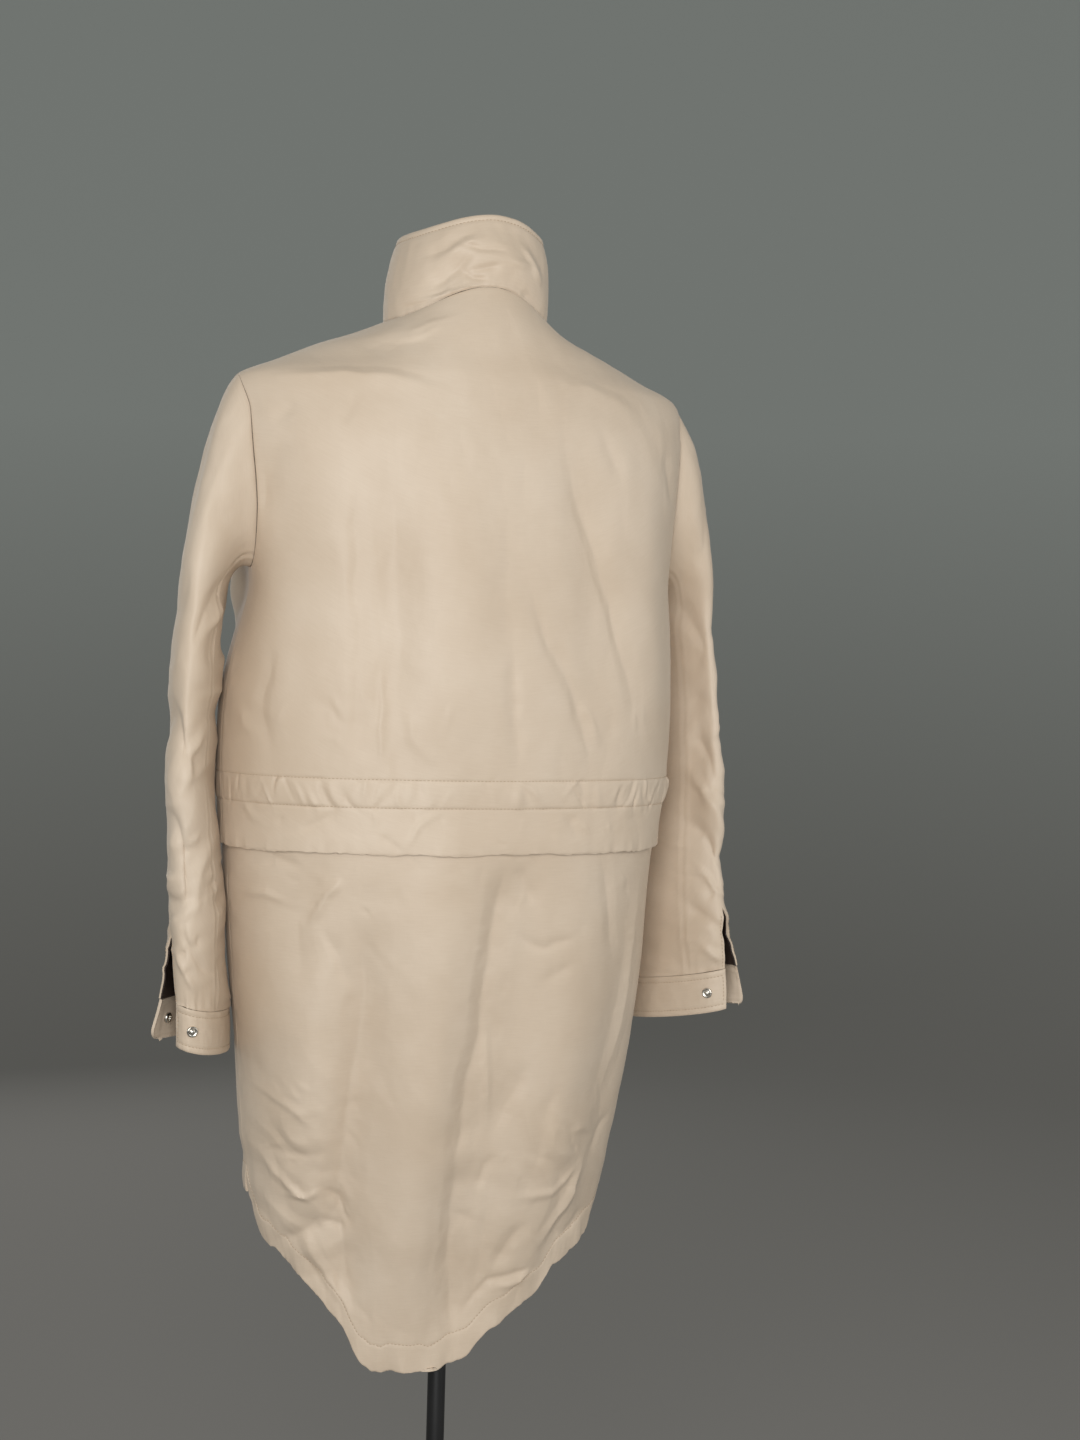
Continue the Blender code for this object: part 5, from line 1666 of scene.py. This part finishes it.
# -------- sleeves
@dataclass
class Sleeve:
    """One sleeve with its vent, its lining where it shows, its unfastened cuff and its snaps."""

    wardrobe: Wardrobe
    side: Side
    cuff_top: float
    outer_tilt: float
    back_tilt: float
    vent_angle: float
    vent_spread: float
    flare_reach: float
    creases: tuple[Crease, ...] = ()
    cuff_height: float = 0.038
    vent_length: float = 0.06
    flare_rise: float = 0.095
    flare_width: float = radians(75)
    cap_foot: float = 1.15          # height at which the sleeve head ends and the hanging tube begins
    tilt_start: float = 0.98
    quarter: float = 0.035
    columns: int = 132
    snap_inset: float = 0.0185
    crease_gain: float = 1.5
    seam_turn: float = radians(152)
    tab_round: float = 0.012
    cuff_radius: float = 0.05
    lined_rows: int = 22             # closed rows over the vent that have their own lining
    lean: tuple[tuple[float, float, float, float, float], ...] = ()
    folds: tuple[Fold, ...] = fold_rows(
        (10, 1120, 28, 1050, 16, -2.6), (100, 1120, 66, 1050, 18, 2.6), (10, 1040, 34, 980, 16, 2.6),
        (112, 1000, 90, 940, 18, -2.6), (50, 960, 30, 900, 16, -2.4),
    )

    def tube(self, turn: Grid, h: Grid, open_end: Grid | float = 0.0) -> Grid:
        """Points of the hanging tube, worked out for the left side.

        Args:
            turn: Turns round the sleeve, 0 outward and a quarter behind.
            h: Heights.
            open_end: How far out the cloth is pushed.

        Returns:
            One point per place.
        """
        turn, h = np.broadcast_arrays(turn, h)
        row = SLEEVES[self.side].at(h)
        yaw = np.radians(row[..., 5])
        out = row[..., 3] * np.cos(turn) + open_end
        back = row[..., 4] * np.sin(turn)
        x = row[..., 1] + out * np.cos(yaw) + back * np.sin(yaw)
        y = row[..., 2] - out * np.sin(yaw) + back * np.cos(yaw)
        near = np.clip((self.tilt_start - h) / (self.tilt_start - self.cuff_top), 0, 1)
        tilt = self.outer_tilt * np.cos(turn) + self.back_tilt * np.sin(turn)
        return np.stack([x, y, h + tilt * near], -1)

    def turns(self, h: float, count: int) -> Grid:
        """Turns from the vent's back edge round to its front edge.

        Args:
            h: The height.
            count: How many.

        Returns:
            The turns, rising.
        """
        share = float(np.clip(1 - (h - self.cuff_top) / self.vent_length, 0, 1))
        half = self.vent_spread * share
        return np.linspace(self.vent_angle + half, self.vent_angle + 2 * pi - half, count)

    def hanging(self, turn: Grid, h: Grid) -> Grid:
        """The tube with the vent's front edge standing out.

        Args:
            turn: Turns round the sleeve, 0 outward and a quarter behind.
            h: Heights.

        Returns:
            One point per place.
        """
        rise = np.clip(1 - (h - self.cuff_top) / self.flare_rise, 0, 1.4)
        from_end = (self.vent_angle + 2 * pi - turn) / self.flare_width
        return self.tube(turn, h, self.flare_reach * rise**2 * np.clip(1 - from_end, 0, None) ** 2)

    def armhole(self, turn: Grid, shrink: float) -> tuple[Grid, Grid]:
        """Points and coat normals along the armhole, for the left side.

        Args:
            turn: Turns round the sleeve, 0 outward and a quarter behind.
            shrink: How far inside the coat's edge.

        Returns:
            Points and normals.
        """
        h = ARMHOLE_MIDDLE_H + (ARMHOLE_HALF - shrink) * np.cos(turn)
        edge_h = ARMHOLE_MIDDLE_H + ARMHOLE_HALF * np.cos(turn)
        behind = np.sin(turn) >= 0
        wide = np.where(behind, ARMHOLE_BACK, ARMHOLE_FRONT) - shrink
        lean = edge_angle(BODY.at(edge_h), behind, wide * np.abs(np.sin(turn)))
        lean = np.where(behind, lean, -lean)
        angle = lean if self.side is Side.LEFT else pi - lean
        normal = body_normals(angle, edge_h)
        points = body_points(angle, h) + normal * body_folds(angle, h)[..., None]
        return self.mirrored(points), self.mirrored(normal)

    def cap(self, turn: Grid, t: float) -> Grid:
        """The sleeve head between armhole and upper arm.

        Args:
            turn: Turns round the sleeve, 0 outward and a quarter behind.
            t: Share of the way from the armhole to the arm.

        Returns:
            One point per turn.
        """
        start, _ = self.armhole(turn, 0.0002)
        end = self.hanging(turn, np.full(turn.shape, self.cap_foot))
        reach = np.linalg.norm(end - start, axis=-1, keepdims=True)
        c, s = np.cos(turn), np.sin(turn)
        leave = np.stack([0.775 - 0.225 * c, 0.15 * s, -0.6 - 0.55 * c + 0.35 * c * c], -1) * reach
        fall = np.array((0, 0, -1.0)) * reach
        return (start * (2 * t**3 - 3 * t**2 + 1) + leave * (t**3 - 2 * t**2 + t)
                + end * (3 * t**2 - 2 * t**3) + fall * (t**3 - t**2))

    def relief(self, turn: Grid, z: Grid, from_seam: Grid, above_cuff: Grid) -> Grid:
        """Folds, creases and small wrinkles of the hanging sleeve.

        Args:
            turn: Turns round the sleeve, 0 outward and a quarter behind.
            z: Heights.
            from_seam: Distances down from the armhole seam.
            above_cuff: Heights over the cuff's seam.

        Returns:
            Height over the smooth sleeve.
        """
        around = (turn / (0.5 * pi)) % 4 * self.quarter
        settled, free = smooth_step(from_seam / 0.014), smooth_step(from_seam / 0.03)
        wide = sum(f.relief(around, z) for f in self.folds) * (z < self.cap_foot)
        total = (wide + self.crease_gain * relief_sum(self.creases, around, z)) * settled
        for middle, level, height, reach, tall in self.lean:
            total += height * bell(wrapped(turn - radians(middle)), reach) * bell(z - level, tall) * free
        total += (0.0008 * NOISE.at(around * 34 + 11, z * 13) + 0.0005 * NOISE.at(around * 80, z * 40)) * free
        total += 0.0007 * NOISE.at(turn * 16, from_seam * 60) * ebb(from_seam, 0.012) * settled
        lower = 0.45 + 0.75 * smooth_step((1.18 - z) / 0.12)
        total += lower * (0.0019 * NOISE.facets(24 * around + 21 + 14 * z, 20 * z - 16 * around)
                          + 0.0009 * NOISE.facets(55 * around + 3, 48 * z + 20 * around)) * free
        total += -0.0004 * bell(from_seam, 0.0016) - 0.0005 * bell(above_cuff, 0.0014)
        gathers = ebb(above_cuff, 0.012) * smooth_step(above_cuff / 0.004)
        total += 0.0016 * NOISE.at(turn * 7 + 3, above_cuff * 25) * gathers
        from_underarm = np.abs(wrapped(turn - self.seam_turn)) * self.cuff_radius
        return total - 0.0008 * bell(from_underarm, 0.0012) + 0.0005 * bell(from_underarm - 0.003, 0.002)

    def sleeve_rows(self) -> tuple[Grid, Grid, int]:
        """Smooth points of the whole sleeve, its turns, and how many rows are a closed tube.

        Returns:
            Points, turns and the number of closed rows.
        """
        rows, turns = [], []
        cap_shares = np.concatenate([[0.0, 0.006, 0.014, 0.026], np.linspace(0.045, 0.96, 34)])
        whole = self.turns(SHOULDER_H, self.columns)
        for t in cap_shares:
            rows.append(self.cap(whole, float(t)))
            turns.append(whole)
        vent_top, seam = self.cuff_top + self.vent_length, self.cuff_top + 0.0003
        arm = np.linspace(self.cap_foot, vent_top, 96)
        vent = np.concatenate([np.linspace(vent_top - 0.003, seam + 0.006, 18), [seam + 0.0035, seam + 0.0018,
                                                                                 seam + 0.0008, seam]])
        for h in np.concatenate([arm, vent]):
            turn = self.turns(float(h), self.columns)
            rows.append(self.hanging(turn, np.full(turn.shape, h)))
            turns.append(turn)
        return np.array(rows), np.array(turns), len(cap_shares) + len(arm)

    def folded(self) -> tuple[Grid, Grid, Grid, int]:
        """Face points of the sleeve with all its relief, outward normals of the smooth sleeve, and the armhole's.

        Returns:
            Points, sleeve normals, armhole normals and the number of closed rows.
        """
        points, turns, closed = self.sleeve_rows()
        normals = grid_normals(points, closed)
        down = np.concatenate([np.zeros((1, points.shape[1])),
                               np.cumsum(np.linalg.norm(np.diff(points, axis=0), axis=-1), 0)])
        lift = self.relief(turns, points[..., 2], down, points[..., 2] - self.cuff_top)
        lift[:closed, -1] = lift[:closed, 0]
        face = points + normals * lift[..., None]
        _, coat = self.armhole(turns[0], 0.0)
        return face, normals, coat, closed

    def mirrored(self, points: Grid) -> Grid:
        """Points worked out for the left, placed on their own side."""
        return points * np.array((self.side.value, 1, 1))

    def sewn(self, face: Grid, out: Grid, places: Sequence[Any]) -> list[Run]:
        """Stitch lines along rows or columns of a left grid, placed on their own side."""
        return [tuple(self.mirrored(line) for line in stitch_run(face, out, where)) for where in places]

    def build_tube(self) -> None:
        """The sleeve, its stitches and its lining."""
        face, out, coat, closed = self.folded()
        out[0] = unit(out[0] + coat)
        name = f"sleeve_shell_{self.side.word}"
        piece = wall_object(name, self.mirrored(face), self.mirrored(face - out * CLOTH),
                            (self.wardrobe.shell, self.wardrobe.lining), closed_rows=closed)
        runs = self.sewn(face, out, [np.s_[closed + 1:, column] for column in (2, -3)])
        place_sewn(self.wardrobe, piece, f"sleeve_{self.side.word}", runs, "vent_stitches")
        lined = slice(closed - self.lined_rows, None)
        depth = CLOTH + LAY_GAP
        lining = wall_object(f"sleeve_lining_cloth_{self.side.word}", self.mirrored(face[lined] - out[lined] * depth),
                             self.mirrored(face[lined] - out[lined] * (depth + LINING)), (self.wardrobe.lining,),
                             closed_rows=self.lined_rows)
        place_piece(lining, (f"sleeve_lining_{self.side.word}",))

    def cuff_face(self) -> Grid:
        """Face points of the cuff band, from its seam down.

        Returns:
            Rows by columns of points.
        """
        edge = np.array((0.0, 0.0005, 0.0012, 0.0022, 0.0038, 0.0046, 0.0055, 0.0064, 0.0075))
        middle = np.linspace(0.0095, self.cuff_height - 0.0095, 12)
        drops = np.concatenate([edge, middle, (self.cuff_height - edge)[::-1]])
        rows, turns = [], []
        for drop in drops:
            h = self.cuff_top - drop
            ends = self.turns(h, 2)
            short = max(0.0, self.tab_round - (self.cuff_height - drop))
            ends[1] -= (self.tab_round - np.sqrt(self.tab_round**2 - short**2)) / self.cuff_radius
            shares = seam_spacing(self.columns, (0.0, 0.0022, 0.005, 0.0085))
            turn = ends[0] + (ends[1] - ends[0]) * shares
            rows.append(self.hanging(turn, np.full(turn.shape, h)))
            turns.append(turn)
        points, turn = np.array(rows), np.array(turns)
        normals = grid_normals(points)
        down = drops[:, None]
        shares = np.broadcast_to(shares[None, :], turn.shape)
        end = np.minimum(shares, 1 - shares) * 0.27
        from_edge = np.minimum(np.minimum(down, self.cuff_height - down), end)
        lift = 0.0004 - 0.0006 * bell(from_edge, 0.0007) - 0.0005 * bell(from_edge - 0.0055, 0.001)
        lift = lift + 0.0004 * NOISE.at(turn * 5, down * 60) + 0.0002 * NOISE.at(turn * 16, down * 160)
        return points + normals * lift[..., None]

    def build_cuff(self) -> None:
        """The cuff band with its edge stitching."""
        face = self.cuff_face()
        out = grid_normals(face)
        piece = wall_object(f"cuff_band_{self.side.word}", self.mirrored(face),
                            self.mirrored(face - out * DOUBLE_CLOTH), (self.wardrobe.shell,))
        runs = self.sewn(face, out, [*(np.s_[row, 4:-4] for row in (6, -7)), *(np.s_[6:-6, c] for c in (5, -6))])
        place_sewn(self.wardrobe, piece, f"cuff_{self.side.word}",
                   runs)

    def snap_seat(self, front: bool) -> tuple[Vector, Vector]:
        """Centre and outward normal of a snap on the cuff's face.

        Args:
            front: Whether on the front end of the cuff.

        Returns:
            The point and the normal.
        """
        def at(turn: float, h: float) -> Grid:
            """One point of the cuff."""
            return self.hanging(np.array(turn), np.array(h))

        h = self.cuff_top - 0.5 * self.cuff_height
        ends = self.turns(h, 2)
        turn, step = (ends[1], -radians(0.5)) if front else (ends[0], radians(0.5))
        start = point = at(turn, h)
        while np.linalg.norm(point - start) < self.snap_inset:
            turn += step
            point = at(turn, h)
        normal = unit(np.cross(at(turn + 0.05, h) - at(turn - 0.05, h), at(turn, h + 0.004) - at(turn, h - 0.004)))
        return Vector(self.mirrored(point)), Vector(self.mirrored(normal))

    def build_snaps(self) -> None:
        """Stud on the back end of the cuff; cap outside and socket inside its front end."""
        # share of the radius and height in millimetres, from the middle of the face round to the back
        stud = ((0, 3.0), (0.2, 3.0), (0.33, 2.8), (0.4, 2.4), (0.4, 2.0), (0.33, 1.2), (0.4, 0.8), (0.62, 0.7),
                (0.72, 1.1), (0.84, 1.2), (0.94, 1.0), (1, 0.6), (1, -0.8), (0, -0.8))
        cap = ((0, 1.6), (0.45, 1.6), (0.6, 1.8), (0.8, 1.5), (0.93, 0.9), (1, 0.4), (1, -0.8), (0, -0.8))
        socket = ((0, 0.4), (0.36, 0.4), (0.42, 1.0), (0.46, 1.9), (0.56, 2.1), (0.78, 2.0), (0.92, 1.5), (1, 1.0),
                  (1, -0.8), (0, -0.8))
        for label, shares, radius, front, lift, turned in (("stud", stud, 0.0048, False, 0.0011, 1),
                                                           ("cap", cap, 0.0055, True, 0.0011, 1),
                                                           ("socket", socket, 0.0048, True, 0.0027, -1)):
            profile = [(share * radius, z / MM) for share, z in shares]
            place, normal = self.snap_seat(front)
            piece = turned_object(f"snap_{label}_pressed_{self.side.word}", profile, self.wardrobe.nickel, 48)
            spin = (normal * turned).to_track_quat("Z", "Y").to_matrix().to_4x4()
            piece.data.transform(Matrix.Translation(place + normal * turned * lift) @ spin)
            place_piece(piece, (f"snap_{label}_{self.side.word}",))

    def build(self) -> None:
        """Everything on this side."""
        self.build_tube()
        self.build_cuff()
        self.build_snaps()


# -------- dress form and stand
@dataclass
class DressForm:
    """The limbless torso in its jersey cover, with a capped neck."""

    wardrobe: Wardrobe
    columns: int = 144
    neck_top: float = 1.472
    seat: float = 0.0052

    def build(self) -> None:
        """One smooth body from the neck cap down to the pole socket."""
        angle = np.linspace(0, 2 * pi, self.columns, endpoint=False)
        middle = np.array((0, NECK[4], 0))
        rings = []
        for z, share in ((self.neck_top, 0.9), (self.neck_top - 0.0006, 0.95), (self.neck_top - 0.002, 0.985),
                         (self.neck_top - 0.004, 1.0), (self.neck_top - 0.012, 1.01), (1.452, 1.03)):
            ring = (ring_points(np.broadcast_to(NECK, angle.shape + (9,)), angle) - middle) * share + middle
            ring[:, 2] = z
            rings.append(ring)
        foot = body_points(angle, np.full(angle.shape, NECK_H))
        foot = foot - (level_out(angle) + (0, 0, 0.5)) * 0.007
        for t in (0.35, 0.7):
            rings.append(rings[5] * (1 - t) + foot * t)
        rings.append(foot)
        for h in np.linspace(1.408, 1.369, 12):
            at = np.full(angle.shape, h)
            rings.append(body_points(angle, at) - body_normals(angle, at) * self.seat)
        for h in np.concatenate([np.linspace(1.35, 0.76, 70), [0.752, 0.747, 0.745]]):
            share = 1.0 - 0.03 * max(0.0, (0.76 - h) / 0.015) ** 2
            ring = ring_points(FORM.at(np.full(angle.shape, h)), angle)
            ring[:, :2] *= share
            rings.append(ring)
        piece = loft_object("dress_form", np.array(rings), self.wardrobe.jersey)
        place_piece(piece, ("form_torso",))


@dataclass
class Stand:
    """The steel pole and the round base plate with its socket."""

    wardrobe: Wardrobe
    pole_radius: float = 0.0083
    pole_top: float = 0.7447
    base_radius: float = 0.165
    base_thickness: float = 0.01

    def build(self) -> None:
        """Pole with a locking collar under the form, and plate with a rolled rim and a welded socket."""
        r, top, foot = self.pole_radius, self.pole_top, self.base_thickness + 0.0003
        pole = [(0, top), (r - 0.0008, top), (r, top - 0.0008), (r, foot + 0.0008), (r - 0.0008, foot), (0, foot)]
        place_piece(turned_object("steel_pole", pole, self.wardrobe.powder, 96), ("stand_pole",))
        collar = [(r + 0.0002, top - 0.004), (r + 0.0052, top - 0.004), (r + 0.006, top - 0.005),
                  (r + 0.006, top - 0.029), (r + 0.0052, top - 0.03), (r + 0.0002, top - 0.03)]
        ring = turned_object("pole_lock_collar", [(0.0, top - 0.004), *collar, (0.0, top - 0.03)],
                             self.wardrobe.powder, 96)
        place_piece(ring)
        b, t = self.base_radius, self.base_thickness
        plate = [(0, t), (0.3 * b, t), (b - 0.003, t), (b - 0.0012, t - 0.0005), (b - 0.0003, t - 0.0016),
                 (b, t - 0.003), (b, 0.0018), (b - 0.0006, 0.0006), (b - 0.0018, 0.0), (0, 0)]
        place_piece(turned_object("base_plate", plate, self.wardrobe.powder, 160), ("stand_base",))
        socket = [(0, t + 0.016), (r + 0.0036, t + 0.016), (r + 0.0046, t + 0.015), (r + 0.005, t + 0.004),
                  (r + 0.009, t + 0.001), (r + 0.0105, t), (0, t)]
        place_piece(turned_object("base_socket", socket, self.wardrobe.powder, 96))


# -------- studio
@dataclass(frozen=True)
class Softbox:
    """A white square soft light that faces the pole."""

    name: str
    azimuth: float      # degrees from +Y towards +X
    distance: float
    height: float
    size: float
    power: float        # watts
    aim: float          # height of the point on the pole that it faces


@dataclass
class Studio:
    """Pale floor, soft lights and the camera at the photograph's angle."""

    azimuth: float = radians(20)
    distance: float = 2.0
    camera_height: float = 1.12
    yaw: float = radians(2.28)
    pitch: float = radians(1.73)
    roll: float = radians(1.56)
    lens: float = 54.25
    flat_radius: float = 3.8
    bend_radius: float = 3.0
    wall_top: float = 7.0
    # floor end of the backdrop's colour ramp, darker than the wall: painted shade at the foot of the backdrop
    shaded_floor_tone: str = "#8B8884"
    wall_tone: str = "#B7BBB7"
    sky_tone: str = "#F0F4F1"
    sky_strength: float = 0.33
    softboxes: tuple[Softbox, ...] = (
        Softbox("key_softbox", 24, 2.6, 1.38, 1.4, 49, 1.2),
        Softbox("right_softbox", -46, 2.7, 1.55, 1.7, 18, 1.2),
        Softbox("left_softbox", 88, 2.1, 1.7, 1.2, 6, 1.38),
        Softbox("front_softbox", 180, 3.4, 1.9, 2.4, 14, 1.1),
    )

    def camera(self) -> None:
        """Camera behind the coat, level with the waist, rolled a little as the photographer held it."""
        data = bpy.data.cameras.new("camera")
        data.lens = self.lens
        item = bpy.data.objects.new("camera", data)
        heading = self.azimuth + pi + self.yaw
        forward = Vector((sin(heading) * cos(self.pitch), cos(heading) * cos(self.pitch), -sin(self.pitch)))
        right = Vector((cos(heading), -sin(heading), 0.0))
        up = right.cross(forward)
        right, up = right * cos(self.roll) + up * sin(self.roll), up * cos(self.roll) - right * sin(self.roll)
        spin = Matrix((right, up, -forward)).transposed().to_4x4()
        place = Vector((self.distance * sin(self.azimuth), self.distance * cos(self.azimuth), self.camera_height))
        item.matrix_world = Matrix.Translation(place) @ spin
        bpy.context.scene.collection.objects.link(item)
        bpy.context.scene.camera = item

    def light(self, box: Softbox) -> None:
        """Hang one softbox so that it faces the coat.

        Args:
            box: The softbox.
        """
        data = bpy.data.lights.new(box.name, "AREA")
        data.shape, data.size, data.energy = "SQUARE", box.size, box.power
        item = bpy.data.objects.new(box.name, data)
        turn = radians(box.azimuth)
        place = Vector((box.distance * sin(turn), box.distance * cos(turn), box.height))
        item.location = place
        item.rotation_euler = (Vector((0, 0, box.aim)) - place).to_track_quat("-Z", "Y").to_euler()
        item.visible_camera = False
        bpy.context.scene.collection.objects.link(item)

    def turned(self, name: str, profile: Profile, material: Material) -> Object:
        """One turned sheet of backdrop from (radius, height) pairs.

        Args:
            name: Its name.
            profile: Radii and heights.
            material: Its material.

        Returns:
            The object.
        """
        data = turned_mesh(name, profile, material, 96)
        data.shade_smooth()
        item = bpy.data.objects.new(name, data)
        bpy.context.scene.collection.objects.link(item)
        return item

    def backdrop(self) -> None:
        """A plain floor that curves up into a round wall, so that no horizon shows, coloured from the pale wall to a
        darker floor as painted shade, and its shade below.
        """
        material, tree, shader = new_material("studio_backdrop_paper")
        place = add_node(tree, "TexCoord")
        height = add_node(tree, "SeparateXYZ", links={"Vector": (place, "Object")})
        # the colour darkens from the pale wall down to the floor over the lowest 2 m: painted shade
        share = add_node(tree, "MapRange", {"From Min": 0.0, "From Max": 2.0}, {"Value": (height, "Z")})
        tone = add_node(tree, "ValToRGB", links={"Fac": (share, "Result")})
        colour_ramp(tone, ((0.0, self.shaded_floor_tone), (1.0, self.wall_tone)))
        set_node(tree, shader, {"Roughness": 0.9, "Specular IOR Level": 0.2}, {"Base Color": (tone, "Color")})
        flat, bend = self.flat_radius, self.bend_radius
        curve = [(flat + bend * sin(a), bend * (1 - cos(a))) for a in np.linspace(0, 0.5 * pi, 24)]
        cove = self.turned("floor", ((0.0005, 0.0), (0.4 * flat, 0.0), *curve, (curve[-1][0], self.wall_top)), material)
        cove.visible_shadow = cove.visible_diffuse = cove.visible_glossy = False
        shade = self.turned("floor_shade", ((0.0005, -0.001), (flat, -0.001)), material)
        shade.visible_camera = False

    def build(self) -> None:
        """Camera, lights, world and floor."""
        self.camera()
        for box in self.softboxes:
            self.light(box)
        self.backdrop()
        world = bpy.data.worlds.new("studio")
        bpy.context.scene.world = world
        world.use_nodes = True
        set_node(world.node_tree, world.node_tree.nodes["Background"],
                 {"Color": srgb(self.sky_tone), "Strength": self.sky_strength})
        bpy.context.scene.view_settings.view_transform = "Standard"


LEFT_SLEEVE_CREASES = crumple(21, 34, (0.0, 0.82), (0.075, 0.95), 35, 50, (0.012, 0.045), 0.0017) + crumple(
    22, 16, (0.0, 0.96), (0.075, 1.15), 50, 40, (0.025, 0.075), 0.0018) + crease_rows(
    ((12, 1300, 30, 1250, 52, 1205), 12, -2.6),
    ((70, 1190, 48, 1150, 30, 1110), 7, -2.6, 1.4),
    ((66, 1160, 50, 1128), 5, 2.2),
    ((10, 1080, 30, 1040, 55, 1010), 8, -2.6, 1.5),
    ((64, 1060, 45, 1030, 30, 985), 7, 2.6),
    ((20, 990, 36, 950, 40, 900), 8, -2.8, 1.4),
    ((66, 960, 50, 925, 40, 880), 6, 2.2),
    ((30, 880, 44, 850, 58, 828), 5, -2.2),
    ((22, 862, 36, 834, 46, 815), 4, 2),
    ((100, 1060, 120, 1020), 8, -2.4),
    ((90, 930, 110, 900, 118, 860), 7, -2.4),
)
# Turn in degrees, height, how far out, width in radians and tallness of wide bulges, minus for hollows.
LEFT_SLEEVE_LEAN = (
    (240, 1.172, 0.01, 0.55, 0.03), (0, 1.26, -0.0075, 0.7, 0.065), (0, 1.01, -0.0034, 0.7, 0.05),
    (180, 0.89, 0.0036, 0.8, 0.07),
)
RIGHT_SLEEVE_CREASES = crumple(23, 30, (0.0, 0.83), (0.075, 0.95), 150, 45, (0.012, 0.045), 0.0014) + crumple(
    24, 16, (0.0, 0.96), (0.075, 1.15), 130, 40, (0.025, 0.075), 0.0016) + crease_rows(
    ((12, 1300, 30, 1240, 48, 1190), 12, -2.6),
    ((66, 1180, 40, 1130), 7, -2.2, 1.4),
    ((62, 1060, 40, 1020, 22, 975), 7, -2.6, 1.5),
    ((62, 1020, 44, 990, 26, 940), 6, 2.4),
    ((64, 975, 42, 940, 22, 915), 6, -2.6, 1.4),
    ((60, 930, 40, 905, 16, 890), 5, 2),
    ((60, 890, 42, 868, 26, 850), 5, -2.2),
    ((54, 850, 40, 832), 4, 1.6),
    ((100, 1050, 118, 1010), 8, -2.4),
    ((92, 930, 112, 900, 120, 860), 7, -2.4),
)
RIGHT_SLEEVE_LEAN = ((142, 1.06, -0.008, 0.55, 0.15), (75, 1.04, 0.003, 0.4, 0.15))


def main() -> None:
    """Build the coat, its form and the studio in order."""
    logging.basicConfig(level=logging.INFO, format="%(name)s %(message)s")
    Studio().build()
    wardrobe = Wardrobe()
    DressForm(wardrobe).build()
    Stand(wardrobe).build()
    Bodice(wardrobe).build()
    Skirt(wardrobe).build()
    FrontStrip(wardrobe).build()
    Collar(wardrobe).build()
    Sleeve(wardrobe, Side.LEFT, cuff_top=0.804, outer_tilt=0.006, back_tilt=0.004, vent_angle=radians(45),
           vent_spread=radians(12), flare_reach=0.017, creases=LEFT_SLEEVE_CREASES, lean=LEFT_SLEEVE_LEAN).build()
    Sleeve(wardrobe, Side.RIGHT, cuff_top=0.819, outer_tilt=0.0045, back_tilt=0.0097, vent_angle=radians(90),
           vent_spread=radians(8), flare_reach=0.015, creases=RIGHT_SLEEVE_CREASES, lean=RIGHT_SLEEVE_LEAN).build()


if __name__ == "__main__":
    main()
